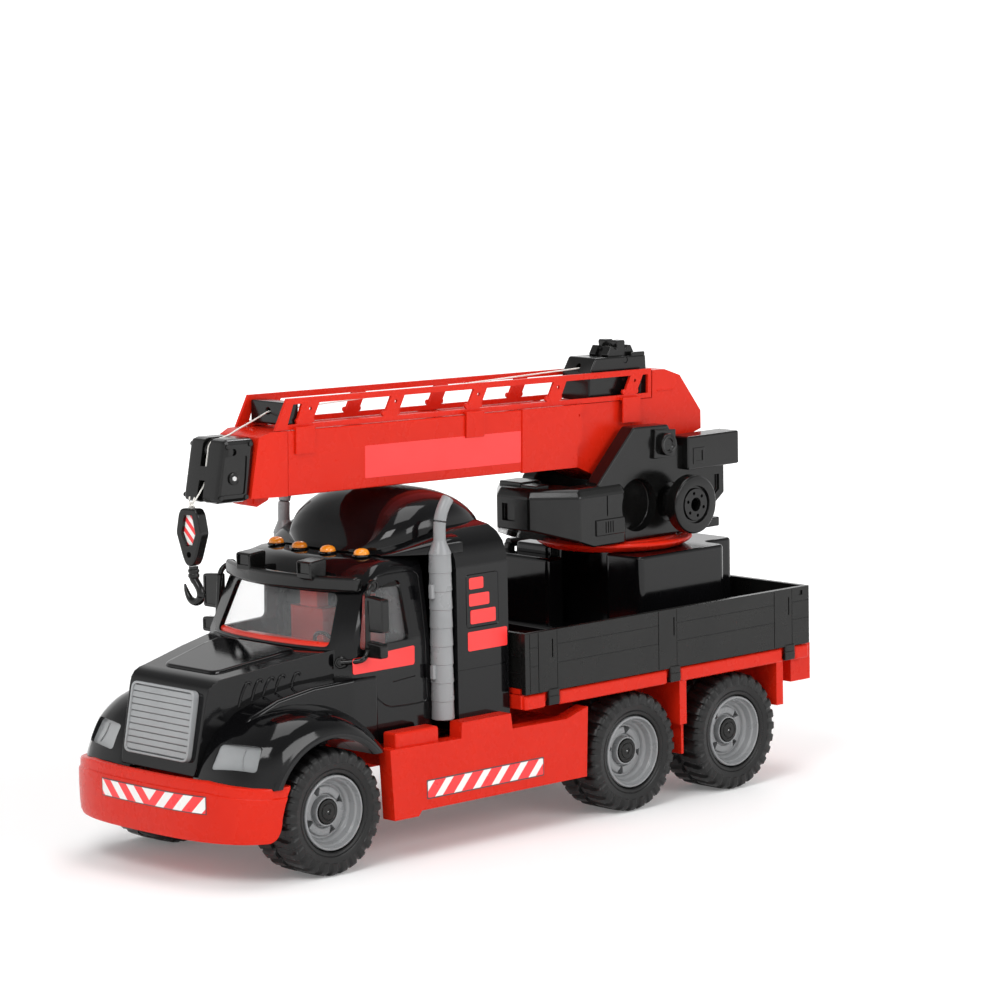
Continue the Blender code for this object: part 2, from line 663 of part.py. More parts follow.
def crane_base():
    block = plate("XY", BASE_PLAN, 118, CRANE_BASE_TOP_Z)
    add = [box((-452, -84, 103.0), (-304, 84, 120)),
           box((-328, -82, 110), (-311, -14, 169)),
           box((-345, -82, 110), (-327, -64, 164)),
           box((-333.2, -76.8, 150), (-326.1, -71.3, 174.2)),
           cylinder("X", (-344.7, -74, 173.8), 3.7, 33, segments=14)]
    cut = [cylinder("Z", (SLEW_X, 0, 165), 13.8, 60),
           box((-412, -62, 95), (-344, 62, 140)),
           box((-442, -41, 95), (-411, 41, 140))]
    part("crane_base", "chassis", BLACK_GLOSS, block, add=add, cut=cut)


def turntable_ring():
    low = CRANE_BASE_TOP_Z + GAP
    body = cylinder("Z", (SLEW_X, 0, low + 1.9), 51, 3.8, 58, 40)
    rim = cylinder("Z", (SLEW_X, 0, low + 5.2), 58, 3.6, 56, 40)
    hole = cylinder("Z", (SLEW_X, 0, low + 3), 13.8, 12)
    part("turntable_ring", "chassis", RED, body, add=[rim], cut=[hole])


def turret():
    floor_z = CRANE_BASE_TOP_Z + 7.8
    plan = TURRET_PLAN + [(x, -y) for x, y in reversed(TURRET_PLAN[1:-1])]
    base = plate("XY", plan, floor_z, 231)
    add = [cylinder("Z", (SLEW_X, 0, 172), 13.4, 30)]
    for side in (1, -1):
        low, high = between(side, 26.5, 40)
        add.append(plate("XZ", CHEEK_SIDE, low, high))
        low, high = between(side, 26.5, 46)
        add.append(box((-452, low, 227), (-403, high, 256)))
        low, high = between(side, 39, 43)
        add.append(box((PIVOT[0] - 11, low, 240), (PIVOT[0] + 11, high, 264)))
        add.append(cylinder("Y", (PIVOT[0], side * 44, PIVOT[1]), 8.0, 6.0))
    cut = [box((-460, -26, 191), (-296, 26, 300)),
           plate("XZ", [(-255, 180), (-255, 197), (-302, 180)], -60, 60),
           plate("XZ", [(-460, 180), (-460, 215), (-418, 180)], -60, 60),
           cylinder("Y", (PIVOT[0], 0, PIVOT[1]), 4.0, 120, segments=20),
           cylinder("Y", (KNOB_AXIS[0], 35, KNOB_AXIS[1]), 3.8, 40, segments=20)]
    for side in (1, -1):
        cut.append(cylinder("Y", (-351, side * 40, 208), 18.5, 20, segments=32))
    for side in (1, -1):
        low, high = between(side, 38, 50)
        cut.append(box((-441, low, 197), (-424, high, 221)))
    part("turret_casing", "turret", BLACK_SATIN, base, add=add, cut=cut)
    pin = cylinder("Y", (PIVOT[0], 0, PIVOT[1]), 3.6, 91, segments=20)
    part("luffing_pin", "turret", STEEL, pin)


def gear_outline(centre, teeth, module, start, count, turn):
    """A toothed arc of count teeth; the rest of the outline is left to the caller."""
    pitch = teeth * module / 2
    root = pitch - 1.25 * module
    tip = pitch + 0.85 * module
    step = 2 * math.pi / teeth
    points = []
    for i in range(count):
        middle = turn + (start + i) * step
        for offset, radius in ((-0.36, root), (-0.13, tip), (0.13, tip), (0.36, root)):
            angle = middle + offset * step
            points.append((centre[0] + radius * math.cos(angle), centre[1] + radius * math.sin(angle)))
    return points


GEAR_CENTRES = math.hypot(KNOB_AXIS[0] - PIVOT[0], KNOB_AXIS[1] - PIVOT[1])
GEAR_MODULE = 2 * GEAR_CENTRES / (SLEEVE_TEETH + PINION_TEETH)
GEAR_LINE = math.atan2(KNOB_AXIS[1] - PIVOT[1], KNOB_AXIS[0] - PIVOT[0])


def luff_knob():
    """A big hand knob on a neck and shaft, with the pinion that turns the boom's toothed sector."""
    disc = cylinder("Y", (KNOB_AXIS[0], 61, KNOB_AXIS[1]), 21.3, 10, segments=40)
    x, z = KNOB_AXIS
    # A tooth space of the pinion faces the sector
    turn = GEAR_LINE + math.pi + math.pi / PINION_TEETH
    pinion = plate("XZ", gear_outline(KNOB_AXIS, PINION_TEETH, GEAR_MODULE, 0, PINION_TEETH, turn), 7, 14)
    add = [cylinder("Y", (x, 50, z), 12, 14, 15, 24),
           cylinder("Y", (x, 26, z), 3.3, 46, segments=16),
           pinion]
    cut = [cylinder("Y", (x, 66, z), 13, 2.4, segments=32),
           cylinder("Y", (x, 66, z), 4.6, 8, segments=16)]
    for i in range(6):
        angle = math.pi * i / 3 + 0.3
        place = (x + 8.8 * math.cos(angle), 65, z + 8.8 * math.sin(angle))
        cut.append(cylinder("Y", place, 1.5, 6, segments=8))
    part("luffing_knob", "luff_knob", BLACK_SATIN, disc, add=add, cut=cut)


# ------------------------------------------------------------------ boom, in the boom frame

ARM_SIDE = [(92, 29.6), (71.6, 29.6), (71.6, 32), (-9, 32), (-9, 52.5), (-22, 52.5), (-38, 47.3),
            (-60.6, 19.5), (-61, 6), (-30, -4), (-10, -14), (12, -22), (36, -27), (71.6, -12.5),
            (71.6, -10), (92, -10)]


ARM_HOLLOW = [(95, 27), (69, 27), (69, 29.2), (-11.6, 29.2), (-11.6, 49.8), (-21, 49.8), (-36, 45),
              (-58, 19), (-58.3, 7.6), (-29.4, -1.2), (-9.2, -11.2), (12.4, -19.2), (35.6, -24.1),
              (69, -10.4), (69, -7.6), (95, -7.6)]


def rear_arm():
    """The boom's foot, with the toothed sector that the knob's pinion drives."""
    base = plate("XZ", ARM_SIDE, -20.5, 20.5)
    line = GEAR_LINE - BOOM_PITCH
    teeth = gear_outline((0, 0), SLEEVE_TEETH, GEAR_MODULE, -7, 9, line)
    sector = plate("XZ", teeth + [(12, -10), (-14, -4)], 7, 14)
    lid = cylinder("Y", (0, 0, 0), 10, 41, segments=24)
    hollow = plate("XZ", ARM_HOLLOW, -17.9, 17.9)
    cut = [hollow, cylinder("Y", (0, 0, 0), 4.0, 60, segments=20)]
    part("boom_foot", "boom", RED, base, add=[lid, sector], cut=cut)


def boom_sleeve():
    outer = box((SLEEVE_REAR_X, -SLEEVE_HALF, SLEEVE_LOW_Z), (SEAM_X, SLEEVE_HALF, SLEEVE_TOP_Z))
    collar = box((SLEEVE_REAR_X, -SLEEVE_HALF - 0.8, SLEEVE_LOW_Z - 0.8),
                 (108, SLEEVE_HALF + 0.8, SLEEVE_TOP_Z))
    bore = box((0, -20.9, -10.4), (400, 20.9, 30))
    part("boom_sleeve", "boom", RED, outer, add=[collar], cut=[bore])


RAIL_POSTS = (329.2, 250.5, 171.6, 92.7, 14.3)
RAIL_TABS = ((324.6, 341.6), (165.8, 182.9), (8.6, 26.4))
RAIL_LOW_Z = SLEEVE_TOP_Z + GAP
RAIL_TOP_Z = 54.0


def lattice_rail(side, label):
    """A pierced side rail on the boom's top edge, clipped down by three tabs."""
    low, high = between(side, RAIL_HALF - 2.2, RAIL_HALF)
    outline = [(357, RAIL_LOW_Z), (346, RAIL_TOP_Z), (-7, RAIL_TOP_Z), (-7, RAIL_LOW_Z)]
    base = plate("XZ", outline, low, high)
    windows = []
    lean = 7.0
    foot = RAIL_LOW_Z + 3.6
    head = RAIL_TOP_Z - 4.2
    for front, rear in zip(RAIL_POSTS, RAIL_POSTS[1:]):
        windows.append([(front - 5.5, foot), (front - 5.5 - lean, head),
                        (rear + 7.0 - lean, head), (rear + 7.0, foot)])
    windows.append([(RAIL_POSTS[-1] - 5.5, foot), (RAIL_POSTS[-1] - 5.5 - lean, head), (-3.5, head),
                    (-3.5, foot)])
    windows.append([(345.5, foot), (340.5, head), (332.5, head), (337.5, foot)])
    cut = [plate("XZ", window, low - 3, high + 3) for window in windows]
    add = []
    skin_low, skin_high = between(side, SLEEVE_HALF + GAP, SLEEVE_HALF + 1.8)
    step_low, step_high = between(side, RAIL_HALF - 1, SLEEVE_HALF + 1.8)
    for rear, front in RAIL_TABS:
        add.append(box((rear, skin_low, 16), (front, skin_high, RAIL_LOW_Z + 1.6)))
        add.append(box((rear, step_low, RAIL_LOW_Z), (front, step_high, RAIL_LOW_Z + 2.0)))
    part(f"{label}_lattice_rail", "boom", RED, base, add=add, cut=cut)


def winch():
    """A housing on the boom's foot, and the ribbed finger wheel whose drum winds the cord."""
    side = [(49, SLEEVE_TOP_Z + GAP), (44.6, 63.5), (12, 64), (-1, 63), (-8.4, 63), (-8.4, SLEEVE_TOP_Z + GAP)]
    base = plate("XZ", side, -14.6, 14.6)
    x, z = WINCH_AXIS
    cut = [cylinder("Y", (x, 0, z), 16.6, 13.2, segments=32),
           cylinder("Y", (x, 0, z), 2.5, 60, segments=12),
           cylinder("X", (40, 0, 56), 2.6, 36, segments=12)]
    housing = part("winch_housing", "boom", BLACK_SATIN, base, cut=cut)
    drum = cylinder("Y", (x, 0, z), 6.5, 12.4, segments=24)
    flanges = []
    for low, high in ((-6.2, -2.6), (2.6, 6.2)):
        flanges.append(plate("XZ", finger_outline(x, z), low, high))
    axle = cylinder("Y", (x, 0, z), 2.1, 28, segments=12)
    part("winch_wheel", "winch", BLACK_SATIN, drum, add=flanges + [axle])
    return housing


def finger_outline(x, z):
    """A disc with ten blunt fingers."""
    points = []
    fingers = 10
    for i in range(fingers):
        for offset, radius in ((-0.33, 12.6), (-0.24, 15.0), (0.24, 15.0), (0.33, 12.6)):
            angle = 2 * math.pi * (i + offset) / fingers
            points.append((x + radius * math.cos(angle), z + radius * math.sin(angle)))
    return points


def rope_guide():
    """A roller block between the rails' front posts that leads the cord."""
    block = box((333, -RAIL_HALF + 2.6, 35), (345, RAIL_HALF - 2.6, 51))
    hole = cylinder("X", (339, 0, 44.2), 1.7, 20, segments=12)
    part("rope_guide", "boom", BLACK_SATIN, block, cut=[hole], bevel=(2.0, 2))


TIP_FRONT_TOP = 370.5
TIP_FRONT_LOW = 376.5


def inner_boom():
    """The telescoping section: a square tube in the sleeve and a tapered tip ahead of it."""
    tip_side = [(SEAM_X + GAP, SLEEVE_LOW_Z), (SEAM_X + GAP, SLEEVE_TOP_Z), (362, SLEEVE_TOP_Z),
                (TIP_FRONT_TOP, 29), (TIP_FRONT_LOW, SLEEVE_LOW_Z)]
    tip = plate("XZ", tip_side, -SLEEVE_HALF, SLEEVE_HALF)
    tip_plan = [(300, SLEEVE_HALF), (356, SLEEVE_HALF), (377, 19), (377, -19), (356, -SLEEVE_HALF),
                (300, -SLEEVE_HALF)]
    keep = [plate("XY", tip_plan, -40, 60)]
    bar = box((205, -20.4, -9.9), (SEAM_X + 6, 20.4, 29.5))
    lug = plate("XZ", [(350, -11), (372, -11), (370, -18), (362, -20), (352, -16)], -8, 8)
    cut = [box((200, -18.2, -7.7), (SEAM_X + 2, 18.2, 27.3))]
    part("inner_boom", "inner_boom", RED, tip, keep=keep, add=[bar, lug], cut=cut)


HEAD_SIDE = [(371.2, 29.2), (399, 29.2), (406.5, -14.2), (377.2, -14.2), (374.2, 6)]
HEAD_HALF = 18.6


def boom_head():
    base = plate("XZ", HEAD_SIDE, -HEAD_HALF, HEAD_HALF)
    x, z = PULLEY_AXIS
    cut = [box((x - 10, -3.6, z - 10), (420, 3.6, 40)),
           box((x + 7.5, -3.0, -20), (x + 10.5, 3.0, z)),
           box((x + 8, -3.0, -20), (420, 3.0, 1)),
           cylinder("Y", (x, 0, z), 2.4, 60, segments=12),
           cylinder("Y", (x, 0, 2.5), 2.2, 60, segments=12)]
    obj = part("boom_head", "inner_boom", BLACK_SATIN, base)
    rounding = obj.modifiers.new("rounding", "BEVEL")
    rounding.width = 4.0 * MM
    rounding.segments = 2
    rounding.limit_method = "ANGLE"
    rounding.angle_limit = math.radians(50)
    for mesh in cut:
        operand(obj, mesh, "DIFFERENCE", "inner_boom")
    pulley = cylinder("Y", (x, 0, z), PULLEY_RADIUS, 5.6, segments=20)
    part("head_pulley", "head_pulley", BLACK_SATIN, pulley,
         add=[cylinder("Y", (x, 0, z), 2.0, 34, segments=12)],
         cut=[pulley_groove(x, z)])
    part("head_pin", "inner_boom", STEEL, cylinder("Y", (x, 0, 2.5), 1.9, 39.4, segments=16))


def pulley_groove(x, z):
    """A ring that cuts the cord's groove into the pulley's rim."""
    bm = bmesh.new()
    outline = [(12.0, 1.4), (12.0, -1.4), (6.6, -1.0), (6.6, 1.0)]
    verts = [bm.verts.new((r, 0, h)) for r, h in outline]
    edges = [bm.edges.new((a, b)) for a, b in zip(verts, verts[1:] + verts[:1])]
    bmesh.ops.spin(bm, geom=verts + edges, axis=(0, 0, 1), cent=(0, 0, 0), steps=20,
                   angle=2 * math.pi, use_merge=True)
    bmesh.ops.remove_doubles(bm, verts=bm.verts, dist=0.001)
    bmesh.ops.recalc_face_normals(bm, faces=bm.faces)
    bm.transform(Matrix.Translation((x, 0, z)) @ AXIS_TURN["Y"])
    return from_bmesh(bm, "groove")


# ------------------------------------------------------------------ cord and hook

CORD_RADIUS = 0.6


def cord():
    top = [(44.5, 0, 56), (120, 0, 53.2), (230, 0, 48.7), (332, 0, 44.4)]
    part("cord_along_boom", "boom", ROPE, tube(top, CORD_RADIUS))
    x, z = PULLEY_AXIS
    lead = [(345.6, 0, 43.5), (372, 0, 33.5)]
    for degrees in (105, 80, 55, 30, 5, -10):
        angle = math.radians(degrees)
        lead.append((x + 7.6 * math.cos(angle), 0, z + 7.6 * math.sin(angle)))
    lead += [(x + 9.3, 0, 8), (x + 9.6, 0, 0), (x + 14.5, 0, -7), (x + 20.0, 0, -13.6)]
    part("cord_over_head", "inner_boom", ROPE, tube(lead, CORD_RADIUS))
    knot = ball((HOOK_X, 0, HOOK_TOP_Z - 0.8), 1.5)
    part("cord_knot", "rope_end", ROPE, knot)


BLOCK_FACE = [(6.5, 244.8), (9, 241), (11.6, 228), (5.5, 210), (2.6, 205.6)]
BLOCK_WINDOW = [(3.6, 240.5), (6.4, 228), (2.8, 219.5)]


def hook_block():
    face = BLOCK_FACE + [(-y, z) for y, z in reversed(BLOCK_FACE)]
    window = BLOCK_WINDOW + [(-y, z) for y, z in reversed(BLOCK_WINDOW)]
    body = plate("YZ", face, HOOK_X - 4.5, HOOK_X + 4.5)
    cut = [plate("YZ", window, HOOK_X + 1.5, HOOK_X + 8),
           plate("YZ", window, HOOK_X - 8, HOOK_X - 1.5),
           cylinder("X", (HOOK_X, 0, 213.5), 1.9, 20, segments=12)]
    part("hook_block", "hook_block", BLACK_SATIN, body, cut=cut)
    path = [(0, 205.2), (0, 197.5), (2.2, 194.2), (5.2, 190), (6.2, 186), (4.8, 182.4), (1.4, 180.9),
            (-2.4, 181.6), (-5.2, 184.4), (-7.2, 188.4), (-8.4, 192.4)]
    radii = [1.25, 1.2, 1.05, 1.05, 1.1, 1.1, 1.05, 0.95, 0.8, 0.6, 0.25]
    bar = tube([(HOOK_X, y, z) for y, z in path], 2.6, radii)
    collar = cylinder("Z", (HOOK_X, 0, 200.3), 3.9, 6, segments=16)
    part("hook", "hook", BLACK_SATIN, bar, add=[collar])


# ------------------------------------------------------------------ the whole truck

def build():
    wheel_set("front", 0)
    wheel_set("mid", MID_AXLE_X)
    wheel_set("rear", REAR_AXLE_X)
    chassis_frame()
    front_bumper()
    cab_shell()
    cab_glazing()
    interior()
    steering_wheel()
    cab_fittings()
    sun_visor()
    sleeper()
    bed()
    tailgate()
    for side, label in ((1, "left"), (-1, "right")):
        mirror(side, label)
        exhaust(side, label)
        side_board(side, label)
        lattice_rail(side, label)
    crane_base()
    turntable_ring()
    turret()
    luff_knob()
    rear_arm()
    boom_sleeve()
    winch()
    rope_guide()
    inner_boom()
    boom_head()
    cord()
    hook_block()


build()
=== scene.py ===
"""The toy crane truck's looks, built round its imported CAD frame.

Shapes are drawn in millimetres in one of two frames and placed in metres:
the truck frame (X forward from the front axle, Y left, Z up) and the boom frame
(x along the boom from the luffing pin, z square to it).
"""
import json
import math

import bmesh
import bpy
import numpy as np
from mathutils import Matrix, Vector


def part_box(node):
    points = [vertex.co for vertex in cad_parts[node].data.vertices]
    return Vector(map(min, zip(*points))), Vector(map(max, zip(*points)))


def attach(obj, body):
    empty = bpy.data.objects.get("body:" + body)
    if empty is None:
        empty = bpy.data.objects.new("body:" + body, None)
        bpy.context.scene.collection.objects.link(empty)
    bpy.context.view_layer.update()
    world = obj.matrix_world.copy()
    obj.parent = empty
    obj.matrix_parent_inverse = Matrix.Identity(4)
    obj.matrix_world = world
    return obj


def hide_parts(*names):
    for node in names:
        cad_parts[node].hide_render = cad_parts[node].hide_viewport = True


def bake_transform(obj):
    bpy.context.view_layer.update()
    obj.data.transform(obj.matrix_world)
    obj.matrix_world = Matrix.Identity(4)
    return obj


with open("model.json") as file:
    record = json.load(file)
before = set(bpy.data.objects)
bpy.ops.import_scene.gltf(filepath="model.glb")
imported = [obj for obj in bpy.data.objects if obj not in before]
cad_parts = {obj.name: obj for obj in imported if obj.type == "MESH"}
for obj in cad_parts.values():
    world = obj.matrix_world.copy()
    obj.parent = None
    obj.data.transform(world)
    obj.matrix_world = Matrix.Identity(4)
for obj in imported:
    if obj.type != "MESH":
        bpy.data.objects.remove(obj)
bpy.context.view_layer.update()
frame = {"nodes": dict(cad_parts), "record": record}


def middle(node):
    low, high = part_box(node)
    return (low + high) / 2


MM = Matrix.Scale(0.001, 4)
FRONT_X = middle("front_axle").x
PIN = middle("luffing_pin")
PITCH = math.radians(1.4)
TRUCK = Matrix.Translation((FRONT_X, 0, 0)) @ MM
BOOM = Matrix.Translation(PIN) @ Matrix.Rotation(-PITCH, 4, "Y") @ MM
AXLES = {"front": 0.0, "mid": -284.5, "rear": -390.0}
WHEEL_R = 43.3
SIDES = ((1, "left"), (-1, "right"))
SLEW_X = -366.0
HOOK_X = 35.0
HOOK_TURN = math.radians(8)
STACK_X = -116.0


# ------------------------------------------------------------------ camera, light, floor

def aim(obj, target, roll=0.0):
    look = (Vector(target) - obj.location).to_track_quat("-Z", "Y")
    obj.rotation_euler = (look.to_matrix() @ Matrix.Rotation(roll, 3, "Z")).to_euler()


def camera():
    data = bpy.data.cameras.new("camera")
    data.sensor_width = 36
    data.lens = 154.3
    data.clip_start = 0.1
    data.clip_end = 300
    cam = bpy.data.objects.new("camera", data)
    bpy.context.scene.collection.objects.link(cam)
    centre = Vector((FRONT_X - 0.251, 0, 0.2203))
    azimuth = 0.75579
    elevation = 0.13322
    back = Vector((math.sin(azimuth) * math.cos(elevation), math.cos(azimuth) * math.cos(elevation),
                   math.sin(elevation)))
    cam.location = centre + back * 3.0925
    aim(cam, centre, -0.01809)
    bpy.context.scene.camera = cam


def area_light(name, place, target, size, power):
    data = bpy.data.lights.new(name, "AREA")
    data.shape = "RECTANGLE"
    data.size, data.size_y = size
    data.energy = power
    light = bpy.data.objects.new(name, data)
    light.location = place
    bpy.context.scene.collection.objects.link(light)
    aim(light, target)


def ramp(tree, value, target, low, high, start, end):
    """Drive a socket from a value: low..high becomes start..end."""
    node = tree.nodes.new("ShaderNodeMapRange")
    for key, number in (("From Min", low), ("From Max", high), ("To Min", start), ("To Max", end)):
        node.inputs[key].default_value = number
    tree.links.new(value, node.inputs["Value"])
    tree.links.new(node.outputs["Result"], target)


def studio():
    """White walls and a white floor that glows with painted light, weakest near the truck; a darker ceiling and four
    soft boxes.
    """
    scene = bpy.context.scene
    scene.view_settings.view_transform = "Standard"
    world = bpy.data.worlds.new("studio")
    scene.world = world
    world.use_nodes = True
    tree = world.node_tree
    sky = tree.nodes["Background"]
    sky.inputs["Color"].default_value = (1.0, 1.0, 1.0, 1)
    split = tree.nodes.new("ShaderNodeSeparateXYZ")
    tree.links.new(tree.nodes.new("ShaderNodeTexCoord").outputs["Generated"], split.inputs["Vector"])
    ramp(tree, split.outputs["Z"], sky.inputs["Strength"], 0.30, 0.62, 1.0, 0.30)
    centre = (0, 0, 0.15)
    area_light("key", (1.7, 0.9, 1.9), centre, (1.0, 1.0), 24)
    area_light("left", (-0.4, 2.4, 1.3), centre, (1.6, 0.8), 20)
    area_light("top", (-0.1, 0.1, 2.3), centre, (1.6, 1.1), 17)
    area_light("rim", (-1.8, -1.2, 1.5), centre, (1.0, 0.8), 10)
    bpy.ops.mesh.primitive_plane_add(size=220, location=(0, 0, 0))
    floor = bpy.context.object
    floor.name = "floor"
    mat = bpy.data.materials.new("floor")
    mat.use_nodes = True
    tree = mat.node_tree
    shader = tree.nodes["Principled BSDF"]
    shader.inputs["Base Color"].default_value = (0.90, 0.90, 0.90, 1)
    shader.inputs["Roughness"].default_value = 0.8
    # Painted light: the floor glows, weakly near the truck and more strongly farther off, so it reads white while the
    # truck's rendered shadow stays near it.
    shader.inputs["Emission Color"].default_value = (1.0, 1.0, 1.0, 1)
    reach = tree.nodes.new("ShaderNodeVectorMath")
    reach.operation = "LENGTH"
    tree.links.new(tree.nodes.new("ShaderNodeTexCoord").outputs["Object"], reach.inputs[0])
    ramp(tree, reach.outputs["Value"], shader.inputs["Emission Strength"], 0.35, 2.2, 0.12, 0.75)
    floor.data.materials.append(mat)


# ------------------------------------------------------------------ materials

class Nodes:
    """Short names for adding and linking shader nodes."""

    def __init__(self, name):
        self.material = bpy.data.materials.new(name)
        self.material.use_nodes = True
        self.tree = self.material.node_tree
        self.shader = self.tree.nodes["Principled BSDF"]
        self.place = self.add("ShaderNodeTexCoord").outputs["Object"]

    def add(self, kind, **settings):
        node = self.tree.nodes.new(kind)
        for key, value in settings.items():
            setattr(node, key, value)
        return node

    def link(self, source, target):
        self.tree.links.new(source, target)

    def math(self, operation, *values):
        """A math node whose inputs are numbers or other sockets."""
        node = self.add("ShaderNodeMath", operation=operation)
        for socket, value in zip(node.inputs, values):
            if isinstance(value, bpy.types.NodeSocket):
                self.link(value, socket)
            else:
                socket.default_value = value
        return node.outputs[0]

    def noise(self, scale, detail=3.0, rough=0.5):
        node = self.add("ShaderNodeTexNoise")
        node.inputs["Scale"].default_value = scale
        node.inputs["Detail"].default_value = detail
        node.inputs["Roughness"].default_value = rough
        self.link(self.place, node.inputs["Vector"])
        return node.outputs["Fac"]

    def spread(self, value, low, high):
        """Map a noise's middle range to low..high."""
        node = self.add("ShaderNodeMapRange")
        node.inputs["From Min"].default_value = 0.3
        node.inputs["From Max"].default_value = 0.7
        node.inputs["To Min"].default_value = low
        node.inputs["To Max"].default_value = high
        self.link(value, node.inputs["Value"])
        return node.outputs["Result"]

    def blend(self, factor, a, b):
        node = self.add("ShaderNodeMix", data_type="RGBA")
        node.inputs["A"].default_value = (*a, 1)
        node.inputs["B"].default_value = (*b, 1)
        self.link(factor, node.inputs["Factor"])
        return node.outputs["Result"]

    def bump(self, height, distance, after=None):
        node = self.add("ShaderNodeBump")
        node.inputs["Distance"].default_value = distance
        node.inputs["Strength"].default_value = 1.0
        self.link(height, node.inputs["Height"])
        if after:
            self.link(after, node.inputs["Normal"])
        self.link(node.outputs["Normal"], self.shader.inputs["Normal"])
        return node.outputs["Normal"]


def plastic(name, dark, light, rough, grain, grain_depth, wave=0.0, coat=0.0, sub=0.0, shine=0.5):
    """Moulded plastic: a little colour drift, patchy gloss, moulding waves and a fine grain."""
    n = Nodes(name)
    n.link(n.blend(n.spread(n.noise(26, 4), 0, 1), dark, light), n.shader.inputs["Base Color"])
    n.link(n.spread(n.noise(60, 5, 0.6), *rough), n.shader.inputs["Roughness"])
    waves = n.bump(n.noise(14, 1), wave) if wave else None
    n.bump(n.noise(grain, 2), grain_depth, waves)
    n.shader.inputs["Coat Weight"].default_value = coat
    n.shader.inputs["Coat Roughness"].default_value = 0.06
    n.shader.inputs["Specular IOR Level"].default_value = shine
    if sub:
        n.shader.inputs["Subsurface Weight"].default_value = sub
        n.shader.inputs["Subsurface Radius"].default_value = (0.004, 0.001, 0.0006)
    return n.material


def see_through(name, colour, rough, alpha):
    n = Nodes(name)
    n.link(n.blend(n.spread(n.noise(40, 3), 0, 1), colour, [c * 0.97 for c in colour]), n.shader.inputs["Base Color"])
    n.link(n.spread(n.noise(90, 3), rough * 0.6, rough * 1.6), n.shader.inputs["Roughness"])
    n.bump(n.noise(30, 2), 0.00006)
    n.shader.inputs["Alpha"].default_value = alpha
    return n.material


def striped(name, period, width, slant, shift, along=1.0, fold=False):
    """Slanted red and white print; its UV is in millimetres. fold mirrors it about the middle."""
    n = Nodes(name)
    split = n.add("ShaderNodeSeparateXYZ")
    n.link(n.add("ShaderNodeUVMap").outputs["UV"], split.inputs["Vector"])
    across = n.math("ABSOLUTE", split.outputs["X"]) if fold else split.outputs["X"]
    run = n.math("MULTIPLY_ADD", across, along, shift)
    run = n.math("MULTIPLY_ADD", split.outputs["Y"], slant, run)
    band = n.math("LESS_THAN", n.math("FRACT", n.math("DIVIDE", run, period)), width)
    n.link(n.blend(band, (0.86, 0.030, 0.035), (0.80, 0.79, 0.77)), n.shader.inputs["Base Color"])
    n.link(n.spread(n.noise(80), 0.24, 0.39), n.shader.inputs["Roughness"])
    n.bump(n.noise(500, 2), 0.00002)
    return n.material


RED = plastic("red_plastic", (0.59, 0.0155, 0.0045), (0.615, 0.0180, 0.0054), (0.25, 0.30), 2600, 0.000004, sub=0.02,
              shine=0.17)
# Painted light: the cab's inside red is a brighter, more orange copy of the outer red, lifting the interior out of
# the cab's shade.
RED_INSIDE = plastic("red_inside_plastic", (0.72, 0.030, 0.014), (0.76, 0.038, 0.018), (0.26, 0.36), 2600, 0.00002,
                     coat=0.05, sub=0.05)
GLOSS = plastic("black_gloss_plastic", (0.0024, 0.0024, 0.0027), (0.0034, 0.0034, 0.0038), (0.06, 0.11), 2400,
                0.000006, wave=0.00010, coat=0.04, shine=0.30)
SATIN = plastic("black_satin_plastic", (0.0050, 0.0050, 0.0047), (0.0075, 0.0075, 0.0070), (0.24, 0.34), 3000,
                0.00002, wave=0.00008, shine=0.30)
SEMI = plastic("black_crane_plastic", (0.0036, 0.0036, 0.0035), (0.0052, 0.0052, 0.0050), (0.14, 0.22), 2600, 0.00001,
               wave=0.00006, shine=0.34)
GREY = plastic("grey_plastic", (0.215, 0.22, 0.225), (0.25, 0.255, 0.26), (0.24, 0.34), 2600, 0.00002, wave=0.00006)
LAMP = plastic("lamp_plastic", (0.26, 0.27, 0.275), (0.30, 0.31, 0.315), (0.12, 0.20), 2600, 0.00002, wave=0.0001,
               coat=0.2)
AMBER = plastic("amber_plastic", (0.80, 0.23, 0.010), (0.90, 0.30, 0.016), (0.10, 0.18), 1800, 0.00002, wave=0.00008,
                coat=0.4, sub=0.15)
RUBBER = plastic("tyre_plastic", (0.0055, 0.0055, 0.0055), (0.0085, 0.0085, 0.0085), (0.30, 0.44), 1800, 0.00004,
                 wave=0.00010, shine=0.32)
STEEL = plastic("steel", (0.50, 0.50, 0.50), (0.62, 0.62, 0.62), (0.2, 0.34), 2200, 0.00002, wave=0.00005)
STEEL.node_tree.nodes["Principled BSDF"].inputs["Metallic"].default_value = 1.0
GLASS = see_through("clear_plastic", (0.72, 0.73, 0.74), 0.03, 0.085)
CORD = plastic("white_cord", (0.66, 0.64, 0.60), (0.84, 0.82, 0.78), (0.7, 0.9), 3000, 0.0001)
PRINT_RED = plastic("red_print", (0.86, 0.030, 0.028), (0.90, 0.036, 0.034), (0.30, 0.42), 1500, 0.00001)
PRINT_DARK = plastic("dark_print", (0.045, 0.035, 0.040), (0.060, 0.048, 0.052), (0.35, 0.45), 1500, 0.00001)
CHEVRON = striped("bumper_print", 17.3, 0.48, -0.95, 42.0, fold=True)
SKIRT_STRIPES = striped("skirt_print", 17.7, 0.40, -0.92, -52.4, along=-1.0)
HOOK_STRIPES = striped("hook_print", 7.6, 0.5, -0.9, 3.0, along=-1.0)


# ------------------------------------------------------------------ rounded copies of CAD nodes

def dissolved(node):
    """The CAD node's mesh with its flat faces made whole."""
    mesh = frame["nodes"][node].data.copy()
    bm = bmesh.new()
    bm.from_mesh(mesh)
    bmesh.ops.remove_doubles(bm, verts=bm.verts, dist=0.000002)
    bmesh.ops.dissolve_limit(bm, angle_limit=math.radians(0.6), verts=bm.verts, edges=bm.edges)
    clean = bpy.data.meshes.new(node)
    bm.to_mesh(clean)
    bm.free()
    return clean


